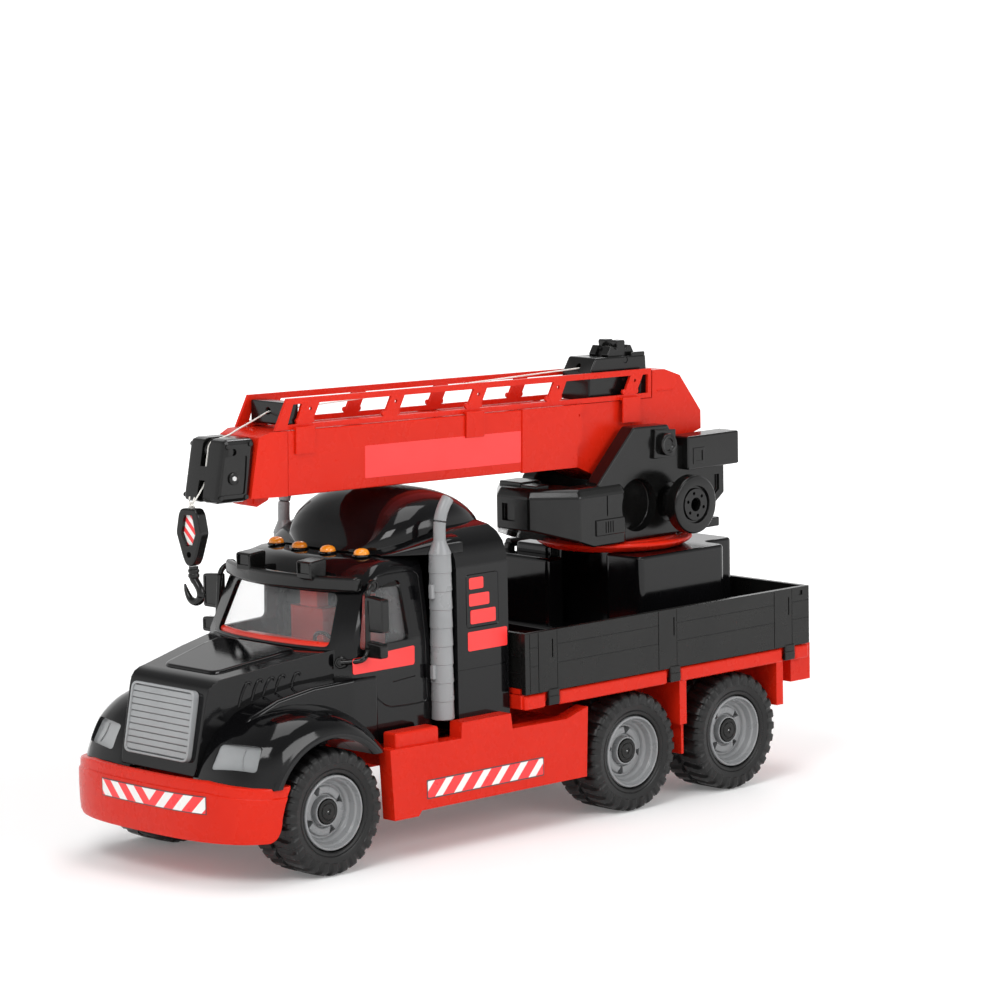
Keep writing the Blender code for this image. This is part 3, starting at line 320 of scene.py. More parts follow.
def bevel(obj, width, segments, angle):
    """Round the edges sharper than angle by width millimetres."""
    rounding = obj.modifiers.new("rounding", "BEVEL")
    rounding.width = width / 1000
    rounding.segments = segments
    rounding.limit_method = "ANGLE"
    rounding.angle_limit = math.radians(angle)
    rounding.miter_outer = "MITER_ARC"


def finish_mesh(obj, width, segments, angle, material):
    """Round the edges, settle the normals, bake it all into the mesh and give it its material."""
    obj.data.shade_smooth()
    if width:
        bevel(obj, width, segments, angle)
        bake_modifiers(obj)
    obj.data.set_sharp_from_angle(angle=math.radians(ROUNDED_SHARP if width else angle))
    flat = obj.modifiers.new("flat", "WEIGHTED_NORMAL")
    flat.mode = "FACE_AREA"
    flat.weight = 100
    flat.keep_sharp = True
    bake_modifiers(obj)
    obj.data.materials.clear()
    obj.data.materials.append(material)


def bake_modifiers(obj):
    bpy.context.view_layer.update()
    graph = bpy.context.evaluated_depsgraph_get()
    mesh = bpy.data.meshes.new_from_object(obj.evaluated_get(graph), preserve_all_data_layers=True, depsgraph=graph)
    obj.modifiers.clear()
    obj.data = mesh


ROUNDED_SHARP = 48
BODY_OF = {n: b for b, members in frame["record"]["behaviour"]["bodies"].items() for n in members}


def rounded(node, material, width=0.6, segments=2, angle=32):
    obj = bpy.data.objects.new("shown_" + node, dissolved(node))
    bpy.context.scene.collection.objects.link(obj)
    finish_mesh(obj, width, segments, angle, material)
    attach(obj, BODY_OF[node])
    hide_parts(node)
    return obj


# ------------------------------------------------------------------ shapes, in millimetres

def to_mesh(bm, name="form"):
    mesh = bpy.data.meshes.new(name)
    bm.to_mesh(mesh)
    bm.free()
    return mesh


def box(low, high):
    bm = bmesh.new()
    size = [h - l for l, h in zip(low, high)]
    centre = [(h + l) / 2 for l, h in zip(low, high)]
    bmesh.ops.create_cube(bm, size=1.0, matrix=Matrix.Translation(centre) @ Matrix.Diagonal((*size, 1.0)))
    return to_mesh(bm)


TURN = {"X": Matrix.Rotation(math.pi / 2, 4, "Y"), "Y": Matrix.Rotation(-math.pi / 2, 4, "X"),
        "Z": Matrix.Identity(4)}


def cylinder(axis, centre, radius, length, far=None, segments=48):
    bm = bmesh.new()
    bmesh.ops.create_cone(bm, cap_ends=True, segments=segments, radius1=radius,
                          radius2=radius if far is None else far, depth=length,
                          matrix=Matrix.Translation(centre) @ TURN[axis])
    return to_mesh(bm)


SPREAD = {"XY": lambda a, b, h: (a, b, h), "XZ": lambda a, b, h: (a, h, b), "YZ": lambda a, b, h: (h, a, b)}


def prism(bottom, top):
    """A closed form between two loops of points that match one to one."""
    bm = bmesh.new()
    low = [bm.verts.new(p) for p in bottom]
    high = [bm.verts.new(p) for p in top]
    bm.faces.new(low)
    bm.faces.new(high)
    for i in range(len(low)):
        j = (i + 1) % len(low)
        bm.faces.new((low[i], low[j], high[j], high[i]))
    bmesh.ops.recalc_face_normals(bm, faces=bm.faces)
    return to_mesh(bm)


def plate(plane, outline, low, high):
    """An outline in a plane, drawn out from low to high."""
    at = SPREAD[plane]
    return prism([at(a, b, low) for a, b in outline], [at(a, b, high) for a, b in outline])


def grid(rows, loop=True, ring=False, caps=True):
    """A skin over rows of points; loop closes each row, ring joins the last row to the first."""
    bm = bmesh.new()
    verts = [[bm.verts.new(p) for p in row] for row in rows]
    pairs = list(zip(verts, verts[1:])) + ([(verts[-1], verts[0])] if ring else [])
    for a, b in pairs:
        count = len(a)
        for i in range(count if loop else count - 1):
            j = (i + 1) % count
            bm.faces.new((a[i], a[j], b[j], b[i]))
    if caps and not ring:
        bm.faces.new(verts[0])
        bm.faces.new(verts[-1])
    bmesh.ops.recalc_face_normals(bm, faces=bm.faces)
    return to_mesh(bm)


def lathe(profile, centre, side=1, steps=96, shape=None):
    """A closed profile of (radius, distance outboard) turned about a line along Y."""
    rows = []
    for i in range(steps):
        angle = 2 * math.pi * i / steps
        row = []
        for r, w in profile:
            if shape:
                r, w = shape(angle, r, w)
            row.append((centre[0] + r * math.cos(angle), centre[1] + side * w, centre[2] + r * math.sin(angle)))
        rows.append(row)
    return grid(rows, ring=True)


def bar(points, radius, radii=None, sides=12, closed=False):
    """A round bar through points (a short list or a smooth path)."""
    pts = [Vector(p) for p in points]
    rows = []
    count = len(pts)
    lead = Vector((0.0, 0.0, 1.0))
    for i, p in enumerate(pts):
        if closed:
            along = (pts[(i + 1) % count] - pts[i - 1]).normalized()
        else:
            along = (pts[min(i + 1, count - 1)] - pts[max(i - 1, 0)]).normalized()
        across = along.cross(lead)
        if across.length < 0.2:
            across = along.cross(Vector((0, 1, 0)))
        across.normalize()
        up = across.cross(along).normalized()
        r = radius * (radii[i] if radii else 1.0)
        rows.append([p + (across * math.cos(t) + up * math.sin(t)) * r
                     for t in (2 * math.pi * k / sides for k in range(sides))])
    return grid(rows, ring=closed)


def smooth_path(points, steps=8):
    """A Catmull-Rom curve through the points."""
    pts = [Vector(p) for p in points]
    pts = [2 * pts[0] - pts[1]] + pts + [2 * pts[-1] - pts[-2]]
    out = []
    for a, b, c, d in zip(pts, pts[1:], pts[2:], pts[3:]):
        for k in range(steps):
            t = k / steps
            out.append(0.5 * (2 * b + (c - a) * t + (2 * a - 5 * b + 4 * c - d) * t * t + (3 * b - a - 3 * c + d)
                              * t ** 3))
    return out + [pts[-2]]


def rounded_outline(points, radius, steps=5):
    """A polygon with its corners rounded."""
    pts = [Vector(p) for p in points]
    out = []
    for i, p in enumerate(pts):
        before = (pts[i - 1] - p)
        after = (pts[(i + 1) % len(pts)] - p)
        reach = min(radius, before.length * 0.45, after.length * 0.45)
        a = p + before.normalized() * reach
        b = p + after.normalized() * reach
        for k in range(steps + 1):
            t = k / steps
            out.append(tuple(a * (1 - t) ** 2 + p * 2 * t * (1 - t) + b * t * t))
    return out


def span(side, a, b):
    """Two distances from the middle as a range of Y on one side."""
    return (min(side * a, side * b), max(side * a, side * b))


# ------------------------------------------------------------------ pieces

def temporary(mesh, place):
    obj = bpy.data.objects.new("temporary", mesh)
    obj.data.transform(place)
    bpy.context.scene.collection.objects.link(obj)
    return obj


def baked(obj):
    bpy.context.view_layer.update()
    evaluated = obj.evaluated_get(bpy.context.evaluated_depsgraph_get())
    return bpy.data.meshes.new_from_object(evaluated)


def eased(mesh, width, segments=3, angle=30):
    """A mesh in millimetres with its sharp edges rounded."""
    obj = temporary(mesh, MM)
    bevel(obj, width, segments, angle)
    out = baked(obj)
    bpy.data.objects.remove(obj)
    out.transform(Matrix.Scale(1000, 4))
    return out


def slab(side, x_low, x_high, y_low, y_high, z_low, z_high, ease=0.0, segments=3):
    """A box on one side of the middle plane, eased if asked."""
    low, high = span(side, y_low, y_high)
    mesh = box((x_low, low, z_low), (x_high, high, z_high))
    return eased(mesh, ease, segments) if ease else mesh


def combined(base, add=(), cut=(), keep=()):
    """Boolean work on meshes in millimetres."""
    obj = temporary(base, MM)
    tools = []
    for meshes, operation in ((keep, "INTERSECT"), (add, "UNION"), (cut, "DIFFERENCE")):
        for mesh in meshes:
            tool = temporary(mesh, MM)
            tool.hide_render = True
            tools.append(tool)
            change = obj.modifiers.new("change", "BOOLEAN")
            change.operation = operation
            change.object = tool
            change.solver = "EXACT"
    out = baked(obj)
    for item in tools + [obj]:
        bpy.data.objects.remove(item)
    out.transform(Matrix.Scale(1000, 4))
    return out


def cad(node, place=TRUCK):
    """A CAD node's mesh in millimetres in the truck or the boom frame."""
    mesh = dissolved(node)
    mesh.transform(place.inverted())
    return mesh


def piece(name, body, material, mesh, place=TRUCK, ease=0.0, segments=2, angle=32, stands_for=(), ride=True):
    """A finished piece of the truck, riding on a body."""
    obj = temporary(mesh, place)
    obj.name = name
    finish_mesh(obj, ease, segments, angle, material)
    obj.data.name = name
    if ride:
        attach(obj, body)
    if stands_for:
        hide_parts(*stands_for)
    return obj


def shown(node, material, mesh, **settings):
    """The piece that is seen in place of a CAD node."""
    return piece("shown_" + node, BODY_OF[node], material, mesh, stands_for=[node], **settings)


def merged(*meshes):
    """Meshes in one frame put into one, without joining their skins."""
    bm = bmesh.new()
    for mesh in meshes:
        bm.from_mesh(mesh)
    return to_mesh(bm)


def unwrap(mesh, across, up, scale=1.0):
    """A flat UV in millimetres from two of a mesh's coordinates."""
    bm = bmesh.new()
    bm.from_mesh(mesh)
    layer = bm.loops.layers.uv.new("UVMap")
    for face in bm.faces:
        for loop in face.loops:
            loop[layer].uv = (loop.vert.co[across] * scale, loop.vert.co[up] * scale)
    bm.to_mesh(mesh)
    bm.free()


def printed(name, body, material, obj):
    """Give a print its name and ink and let it ride on a body."""
    obj.name = name
    obj.data.name = name
    obj.data.materials.clear()
    obj.data.materials.append(material)
    obj.data.set_sharp_from_angle(angle=math.radians(40))
    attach(obj, body)


def sticker(name, body, material, rows, uv_rows, thick):
    """A thin printed patch through rows of points, with its UV in millimetres."""
    bm = bmesh.new()
    layer = bm.loops.layers.uv.new("UVMap")
    verts = [[bm.verts.new(p) for p in row] for row in rows]
    for i in range(len(rows) - 1):
        for j in range(len(rows[0]) - 1):
            places = ((i, j), (i, j + 1), (i + 1, j + 1), (i + 1, j))
            face = bm.faces.new([verts[a][b] for a, b in places])
            for loop, (a, b) in zip(face.loops, places):
                loop[layer].uv = uv_rows[a][b]
    bmesh.ops.recalc_face_normals(bm, faces=bm.faces)
    obj = temporary(to_mesh(bm), TRUCK)
    thickness = obj.modifiers.new("thickness", "SOLIDIFY")
    thickness.thickness = thick / 1000
    thickness.offset = 0
    obj.data = baked(obj)
    obj.modifiers.clear()
    printed(name, body, material, obj)


# ------------------------------------------------------------------ wheels

LUGS = 28


def tyre_shape(angle, r, w):
    """Raise the tread's blocks and the ribs on the shoulder, staggered from side to side."""
    side = 1 if w >= 0 else -1
    turn = angle / (2 * math.pi) * LUGS + (0.5 if side < 0 else 0.0)
    if r > 34 and abs(w) > 2.0:
        lean = 0.16 * (abs(w) - 10) / 10
        phase = (turn + lean) % 1.0
        high = phase < 0.60
        if r > 41.0:
            return (r + (1.75 if high else 0.0), w)
        if r > 38.0:
            return (r + (1.2 if high else 0.0), w + side * (0.75 if high else 0.0))
        return (r, w + side * (0.45 if high else 0.0))
    return (r, w)


TYRE = [(26.1, 17.2), (27.6, 18.9), (29.2, 19.1), (29.9, 18.6), (30.8, 19.3), (34.0, 19.8), (34.4, 19.9),
        (38.4, 19.6), (40.4, 18.4), (41.3, 16.4), (41.5, 11.0), (41.55, 5.4), (41.5, 2.4), (40.9, 2.0), (40.9, 0.0)]
TYRE = TYRE + [(r, -w) for r, w in reversed(TYRE[:-1])]
RIM = [(25.75, 17.2), (25.6, 18.4), (25.0, 18.9), (24.3, 18.9), (23.8, 18.2), (23.5, 15.6), (22.7, 14.9),
       (21.9, 14.2), (21.4, 10.8), (20.6, 9.8), (19.7, 9.5), (19.2, 8.4), (18.6, 7.3), (17.4, 7.2), (16.9, 8.4),
       (16.2, 8.9), (12.6, 9.0), (11.9, 8.4), (11.4, 7.3), (10.6, 7.3), (10.3, 11.2), (9.8, 11.8), (9.0, 11.8),
       (8.9, 8.6), (2.9, 8.6), (2.9, 3.6), (19.6, 3.6), (21.2, -16.0), (25.75, -16.0)]
CAP = [(8.6, 8.9), (8.6, 11.6), (8.0, 12.5), (6.4, 12.7), (6.1, 12.3), (5.5, 12.3), (5.2, 12.8), (2.2, 13.1),
       (1.9, 12.6), (0.4, 12.5), (0.4, 8.9)]


def wheels():
    triangle = [(10.8, -1.0), (16.8, 3.6), (17.6, -3.4)]
    for place, x in AXLES.items():
        body = place + "_wheels"
        for side, label in SIDES:
            centre = (x, side * 80.0, WHEEL_R)
            name = f"{place}_{label}"
            tyre = lathe(TYRE, centre, side, LUGS * 10, tyre_shape)
            shown(f"{name}_tyre", RUBBER, tyre, angle=42)
            holes = []
            for k in range(4):
                turn = math.radians(66 + 90 * k + 37 * list(AXLES).index(place))
                out = [(x + a * math.cos(turn) - b * math.sin(turn),
                        WHEEL_R + a * math.sin(turn) + b * math.cos(turn)) for a, b in triangle]
                holes.append(plate("XZ", rounded_outline(out, 1.2, 3), *span(side, 84, 96)))
            rim = combined(lathe(RIM, centre, side, 72), cut=holes)
            shown(f"{name}_rim", GREY, rim, angle=50)
            piece(f"{name}_hub_cap", body, SATIN, lathe(CAP, centre, side, 48), angle=40)


# ------------------------------------------------------------------ bumper

BUMPER_WALL = [(-5, 31.0), (-3.6, 30.2), (-1.6, 30.6), (-0.3, 33.4), (0.2, 40), (0.5, 52), (0.35, 63.2), (0.1, 64.4),
               (-0.7, 65.0), (-0.9, 69.8), (-1.6, 71.4), (-2.8, 72.0), (-6, 71.8)]


def plan_curve():
    """The bumper's face line from the left end to the right, with outward normals."""
    path = []
    normals = []
    for k in range(-60, 61):
        turn = -math.pi / 2 * k / 60
        along = math.copysign(abs(math.sin(turn)) ** 0.70, turn)
        out = abs(math.cos(turn)) ** 0.70
        path.append(Vector((34 + 53.5 * out, 100.3 * along)))
        normals.append(Vector((out ** 1.86 / 53.5, math.copysign(abs(along) ** 1.86, along) / 100.3)).normalized())
    return path, normals


def bumper():
    path, normals = plan_curve()
    rows = []
    for p, n in zip(path, normals):
        drop = 4.2 * min(max((abs(p.y) - 62) / 36, 0.0), 1.0)
        rows.append([(p.x + n.x * d, p.y + n.y * d, z - (drop if z > 60 else 0.0)) for d, z in BUMPER_WALL])
    shell = grid(rows)
    end = [(10, 12), (62, 12), (62, 27), (55.5, 30.0), (51.5, 32.4), (48.8, 36.2), (47.2, 41), (46.2, 48), (43.8, 56),
           (39.6, 64), (34.3, 73), (10, 90)]
    tab = box((62.4, -40, 42), (83, 40, 58))
    mesh = combined(shell, add=[tab], cut=[plate("XZ", smooth_outline(end), -110, 110)])
    shown("front_bumper", RED, mesh, angle=38)
    strip("bumper_stripe", path, normals, 52.0)


def smooth_outline(points):
    """The middle run of an outline drawn as a smooth curve, its two outer corners kept."""
    run = [(p.x, p.y) for p in smooth_path([(a, b, 0) for a, b in points[2:-1]], 4)]
    return points[:2] + run + points[-1:]


def strip(name, path, normals, half, middle=11.6):
    """The hazard strip across the bumper's middle, on a dark backing that shows as its outline."""
    for layer, grow, lift, mat in (("backing", 0.7, 0.62, PRINT_DARK), ("print", 0.0, 0.76, CHEVRON)):
        keep = [i for i, p in enumerate(path) if abs(p.y - middle) <= half + 9]
        line = [(path[i], normals[i]) for i in keep]
        fine = []
        count = 30
        for k in range(count + 1):
            y = middle + (half + grow) * (1 - 2 * k / count)
            for (p, n), (q, m) in zip(line, line[1:]):
                if p.y >= y >= q.y:
                    t = (p.y - y) / max(p.y - q.y, 1e-6)
                    fine.append((p.lerp(q, t), n.lerp(m, t)))
                    break
        rows = []
        uvs = []
        for z in (50.6 - grow, 56.1, 61.6 + grow):
            rows.append([(p.x + n.x * lift, p.y + n.y * lift, z) for p, n in fine])
            uvs.append([(p.y - middle, z) for p, n in fine])
        sticker(f"{name}_{layer}", "chassis", mat, rows, uvs, thick=0.1)


# ------------------------------------------------------------------ cab

def ring_fender(side):
    """The fender as a ring about the axle with a bulging outer shoulder, trimmed level below."""
    rows = []
    for k in range(41):
        angle = math.radians(14 + (168 - 14) * k / 40)
        reach = np.interp(math.degrees(angle), (14, 29, 45, 60, 75, 90, 110, 130, 168),
                          (75.5, 76, 77.5, 76.0, 73.3, 71.2, 70.2, 69.2, 68.4))
        pull = np.interp(math.degrees(angle), (14, 30, 50, 75, 168), (1.75, 1.6, 1.25, 1.0, 0.9))
        section = [(56, 34), (reach - 3, 34), (reach, 44), (reach - 0.1 * pull, 62), (reach - 1.0 * pull, 74),
                   (reach - 2.6 * pull, 82), (reach - 5.0 * pull, 88.5), (reach - 8.0 * pull, 93.6),
                   (min(reach - 11.2 * pull, 62.0), 97.2), (57.4, 98.9), (55.6, 99.7), (54.0, 100.3), (51.4, 100.3),
                   (50.3, 99.4), (50.1, 97), (50.1, 60), (56, 52)]
        rows.append([(r * math.cos(angle), side * y, WHEEL_R + r * math.sin(angle)) for r, y in section])
    return grid(rows)


HOOD_TOP = [(71.4, 70.5), (69.9, 78), (64.8, 102), (60.6, 122.5), (58.8, 128.0), (55.6, 131.6), (50.5, 133.7),
            (42, 135.0), (4, 141.0), (-24, 144.6), (-46, 146.4), (-46, 78), (30, 78), (34, 70.5)]
HOOD_PLAN = [(76, 0), (75.6, 22), (74.0, 37.0), (69.5, 39.8), (58, 41.6), (46, 43.2), (10, 52.2), (-26, 61.0),
             (-46, 64.5)]


def both_halves(half):
    """An outline of (y, z) points carried on over the middle plane."""
    return half + [(-y, z) for y, z in reversed(half)]


def mirrored(half):
    """An outline of (x, y) points carried on over the middle plane."""
    return half + [(a, -b) for a, b in reversed(half) if abs(b) > 0.01]


CAB_LEVELS = [(78.9, -24, 60, 78), (112, -24, 60, 77.8), (146, -24, 60, 77), (165, -32, 57, 74.6), (184, -40, 54, 72),
              (190, -44.2, 54.2, 71.2), (195.5, -49.5, 53.8, 69.6), (199.5, -54.8, 52.2, 66.8),
              (202.2, -60.6, 49.6, 62.6), (203.5, -68, 45, 55.5)]
CAB_REAR = -109.0


def cab_ring(front, screen, door, inset=0.0, rear=CAB_REAR):
    """A level outline of the cab with a bowed screen and soft corner pillars."""
    f = front - inset
    s = screen - inset * 0.8
    d = door - inset
    half = []
    for k in range(9):
        t = k / 8
        half.append((f - 9.0 * t ** 2.4, s * t))
    corner = rounded_half((f - 9.0, s), (f - 15.5, d - 2.2), (f - 18.5, d), (f - 30, d))
    half += corner
    half.append((rear + inset, d))
    return [(x, y) for x, y in half]


def rounded_half(a, b, c, d):
    return [((a[0] * (1 - t) + b[0] * t), (a[1] * (1 - t) + b[1] * t)) for t in (0.35, 0.7)] + \
        [((b[0] * (1 - t) ** 2 + c[0] * 2 * t * (1 - t) + d[0] * t * t),
          (b[1] * (1 - t) ** 2 + c[1] * 2 * t * (1 - t) + d[1] * t * t)) for t in (0.0, 0.3, 0.6, 1.0)]


def loft(levels):
    return grid([[(x, y, z) for x, y in ring] for z, ring in levels])


def cab_block(levels, inset=0.0):
    return loft([(z, mirrored(cab_ring(f, s, d, inset))) for z, f, s, d in levels])


def lamp_place(side):
    turn = Matrix.Rotation(side * math.radians(16.5), 4, "Z") @ Matrix.Rotation(math.radians(-28), 4, "Y")
    return Matrix.Translation((55.8, side * 69.8, 83.6)) @ turn


def lamp_form(side, grow, front, back=-3.4, shrink=0.0):
    """The headlamp's outline (wider at its foot on the inner side), drawn between two depths."""
    out = [(-19.4, -8.8), (17.2, -8.6), (17.0, 8.6), (-16.4, 8.8)]
    pts = []
    for a, b in out:
        a = a * (1 - shrink) + math.copysign(grow, a)
        b = b * (1 - shrink) + math.copysign(grow, b)
        pts.append((side * a, b))
    mesh = plate("YZ", rounded_outline(pts, 3.2, 4), back - grow, front)
    mesh.transform(lamp_place(side))
    return mesh


def door_side(z):
    """Half-width of the cab's flat side at a height."""
    return float(np.interp(z, [l[0] for l in CAB_LEVELS], [l[3] for l in CAB_LEVELS]))


def side_line(side, points, steps=6, lift=0.0):
    """A line drawn on the cab's side through (x, z) points."""
    path = smooth_path([(x, 0, z) for x, z in points], steps)
    return [(p.x, side * (door_side(p.z) + lift), p.z) for p in path]


def cab():
    hood = combined(plate("XZ", HOOD_TOP, -70, 70), keep=[plate("XY", mirrored(HOOD_PLAN), 60, 170)])
    hood = eased(hood, 5.2, 5, 40)
    shell = cab_block(CAB_LEVELS)
    add = [hood]
    for side in (1, -1):
        cowl = plate("XZ", [(58, 79), (52, 98), (40, 110), (20, 119), (-8, 124.5), (-40, 127), (-60, 127), (-60, 79)],
                     *span(side, 30, 79))
        plan = [(60, side * 30), (60, side * 58), (30, side * 66), (-6, side * 72), (-36, side * 78.6),
                (-60, side * 79), (-60, side * 30)]
        add.append(eased(combined(cowl, keep=[plate("XY", plan, 60, 150)]), 5.0, 4, 30))
        add.append(combined(ring_fender(side), cut=[box((-90, -120, 20), (22, 120, 78.2)),
                                                    box((20, -120, 20), (90, 120, 66.2))]))
    inner = [(70 if i == 0 else (190 if i == 5 else z), mirrored(cab_ring(f, s, d, 3.4)))
             for i, (z, f, s, d) in enumerate(CAB_LEVELS[:6])]
    screen = rounded_outline([(53.4, 182.0), (58.8, 147.0), (-58.8, 147.0), (-53.4, 182.0)], 5.0, 5)
    window = rounded_outline([(-55.6, 184.5), (-87.5, 189.0), (-91.0, 147.5), (-45.5, 145.5)], 4.0, 5)
    cut = [loft(inner), plate("YZ", screen, -62, 0), plate("XZ", window, -95, 95), box((-26, -33, 70), (54, 33, 118))]
    for side in (1, -1):
        cut.append(cylinder("Y", (0, side * 81, WHEEL_R), 50.0, 58, segments=96))
        cut.append(lamp_form(side, 0.35, 24))
        seam = [(-43.5, 150), (-43.5, 142), (-44.2, 132), (-49, 122), (-57, 113), (-68, 104.4), (-80, 102.6),
                (-100, 102.6), (-105.2, 104.5), (-105.6, 112), (-105.6, 150), (-105.2, 185), (-103, 191.5),
                (-96, 193.2), (-70, 193.0), (-62, 190.4)]
        cut.append(bar(side_line(side, seam), 0.55, sides=8))
        vent = [(-74, 120), (-95, 121.5)]
        cut.append(bar(side_line(side, vent), 0.4, sides=8))
    mesh = combined(shell, add=add, cut=cut)
    shown("cab_shell", GLOSS, mesh, angle=33)
    hood_details()


def hood_top_z(x):
    return float(np.interp(x, [-46, -24, 4, 42, 50.5], [146.4, 144.6, 141.0, 135.0, 133.7]))


LOUVRES = [((36.0, 115.0), (31.0, 129.5)), ((26.5, 118.3), (22.5, 130.4)), ((18.0, 121.2), (14.0, 131.0)),
           ((9.0, 122.6), (6.0, 131.8)), ((-2.2, 122.0), (-5.0, 132.4))]


def hood_details():
    """The raised panel on the hood and the slanted louvres on each side."""
    panel = [(42.5, 28.5), (-8, 40.5), (-21, 40.5), (-21, -40.5), (-8, -40.5), (42.5, -28.5)]
    outline = rounded_outline(panel, 8, 6)
    rows = []
    for grow, lift in ((1.0, -0.6), (0.985, 0.9), (0.965, 1.55), (0.94, 1.85), (0.90, 2.0)):
        rows.append([(x * grow + (1 - grow) * 10, y * grow, hood_top_z(x) + lift) for x, y in outline])
    piece("hood_panel", "chassis", GLOSS, grid(rows), angle=45)
    for side in (1, -1):
        for k, ((x_low, z_low), (x_top, z_top)) in enumerate(LOUVRES):
            points = [(x_low + 1.0, z_low - 1.0), (x_low, z_low + 1.2),
                      ((x_low + x_top) / 2 + 0.7, (z_low + z_top) / 2), (x_top, z_top - 0.6),
                      (x_top - 2.6, z_top + 0.6), (x_top - 3.8, z_top - 1.2)]
            path = smooth_path([(x, side * (float(np.interp(x, [-26, 10, 46], [61.0, 52.2, 43.2])) + 0.15), z)
                                for x, z in points], 5)
            rib = bar(path, 0.95, sides=10)
            piece(f"hood_louvre_{'left' if side > 0 else 'right'}_{k + 1}", "chassis", GLOSS, rib, angle=60)


def grille():
    """The radiator's leaning frame with ten slats."""
    slope = math.atan2(69.0 - 60.2, 126.0 - 78.4)
    place = Matrix.Translation((71.6, 0, 79.2)) @ Matrix.Rotation(-slope, 4, "Y")
    height = 48.6
    half = 33.9
    outer = rounded_outline([(half, 0), (half - 0.6, height), (-half + 0.6, height), (-half, 0)], 5.5, 6)
    inner = rounded_outline([(half - 1.7, 1.7), (half - 2.3, height - 1.7), (-half + 2.3, height - 1.7),
                             (-half + 1.7, 1.7)], 4.2, 6)
    mesh = eased(combined(plate("YZ", outer, -3.4, 1.9), cut=[plate("YZ", inner, -1.2, 5)]), 0.6, 3, 40)
    slats = []
    for k in range(10):
        low = 2.0 + k * 4.42
        section = [(-1.6, low), (0.5, low + 0.2), (1.0, low + 0.9), (0.75, low + 4.25), (-1.6, low + 4.35)]
        slats.append(eased(plate("XZ", section, -half + 1.4, half - 1.4), 0.25, 2, 30))
    whole = combined(mesh, add=slats)
    whole.transform(place)
    shown("radiator_grille", LAMP, whole, angle=30)


def headlamps():
    for side, label in SIDES:
        housing = combined(lamp_form(side, 0, 3.3), cut=[lamp_form(side, -1.2, 9, 0.2)])
        shown(f"{label}_headlight", LAMP, housing, ease=0.4, angle=40)
        lens = lamp_form(side, -1.7, 2.2, -1.2)
        piece(f"{label}_headlight_lens", "chassis", LAMP, lens, ease=0.35, segments=3, angle=40)
        curve = smooth_path([(2.4, side * 5.6, -6.8), (2.5, side * 3.6, -3.0), (2.5, side * 2.8, 1.0),
                             (2.4, side * 3.4, 6.9)], 5)
        divider = bar(curve, 0.42, sides=8)
        divider.transform(lamp_place(side))
        piece(f"{label}_headlight_divider", "chassis", GREY, divider, angle=60)


# ------------------------------------------------------------------ cab fittings

def cab_windows():
    rounded("cab_glazing", GLASS, 0.2)
    # The interior uses the brighter copy of the red: painted light against the shade inside the cab.
    interior = combined(cad("cab_interior"))
    shown("cab_interior", RED_INSIDE, interior, ease=2.6, segments=3)
    tilt = Matrix.Translation((-62, 25, 140)) @ Matrix.Rotation(math.radians(-62), 4, "Y")
    rim = [tilt @ Vector((12 * math.cos(t), 12 * math.sin(t), 0)) for t in (2 * math.pi * k / 48 for k in range(48))]
    parts = [bar(rim, 1.4, sides=10, closed=True), bar([tilt @ Vector((0, -11.6, 0)), tilt @ Vector((0, 0, -1.2)),
                                                        tilt @ Vector((0, 11.6, 0))], 1.3),
             bar([tilt @ Vector((0, 0, 1)), tilt @ Vector((0, 0, -5.2))], 2.2, [1.1, 1.0])]
    shown("steering_wheel", SATIN, merged(*parts), angle=45)
    foot = smooth_path([(-29.0 - 9.0 * abs(t) ** 2.4, 58.5 * t, 146.6) for t in (-1, -0.8, -0.5, 0, 0.5, 0.8, 1)], 4)
    piece("cab_dash_edge", "chassis", RED_INSIDE, bar(foot, 3.2, sides=12), angle=60)
    rear_wall = eased(box((-105.2, -70, 100), (-103.2, 70, 184)), 0.6)
    piece("cab_rear_lining", "chassis", SATIN, rear_wall)


VISOR_OUTER = [(-32.5, 0), (-34.4, 24), (-39.0, 44), (-44.6, 58), (-50, 69)]
VISOR_INNER = [(-39.2, 0), (-40.6, 21.6), (-43.6, 40.5), (-48.2, 54.3), (-55.5, 70)]


def visor():
    outline = VISOR_OUTER + list(reversed(VISOR_INNER))
    outline += [(x, -y) for x, y in VISOR_INNER[1:]] + [(x, -y) for x, y in reversed(VISOR_OUTER[1:])]
    band = eased(plate("XY", outline, 183.5, 194.0), 2.4, 4, 35)
    boxes = []
    for side in (1, -1):
        horn = rounded_outline([(-35.0, 190.5), (-34.6, 203.2), (-50.5, 204.6), (-49.5, 190.5)], 2.4, 4)
        boxes.append(combined(eased(plate("XZ", horn, *span(side, 24.6, 39.4)), 1.2, 3, 40),
                              cut=[slab(side, -36.2, -30, 26.3, 37.7, 194.8, 202.0)]))
    shown("sun_visor", SEMI, combined(band, add=boxes), angle=33)


def turned_up(profile, centre, steps=64):
    """A closed profile of (radius, height) turned about a vertical line."""
    rows = []
    for i in range(steps):
        angle = 2 * math.pi * i / steps
        rows.append([(centre[0] + r * math.cos(angle), centre[1] + r * math.sin(angle), centre[2] + z)
                     for r, z in profile])
    return grid(rows, ring=True)


def roof_lights():
    dome = [(0.05, 0.8), (5.3, 0.8), (5.5, 1.6), (5.25, 2.7), (4.7, 3.7), (3.8, 4.5), (2.6, 5.0), (1.3, 5.25),
            (0.05, 5.3)]
    foot = [(0.05, -0.4), (6.0, -0.4), (6.5, 0.0), (6.5, 0.7), (6.0, 1.2), (0.05, 1.2)]
    for side, label in SIDES:
        for x, y, place in ((-72.5, 15, "inner"), (-77.0, 45, "outer")):
            centre = (x, side * y, 203.7)
            name = f"{label}_{place}_roof_light"
            shown(name, AMBER, turned_up(dome, centre, 40), angle=50)
            piece(name + "_foot", "chassis", GLOSS, turned_up(foot, centre, 40), angle=40)


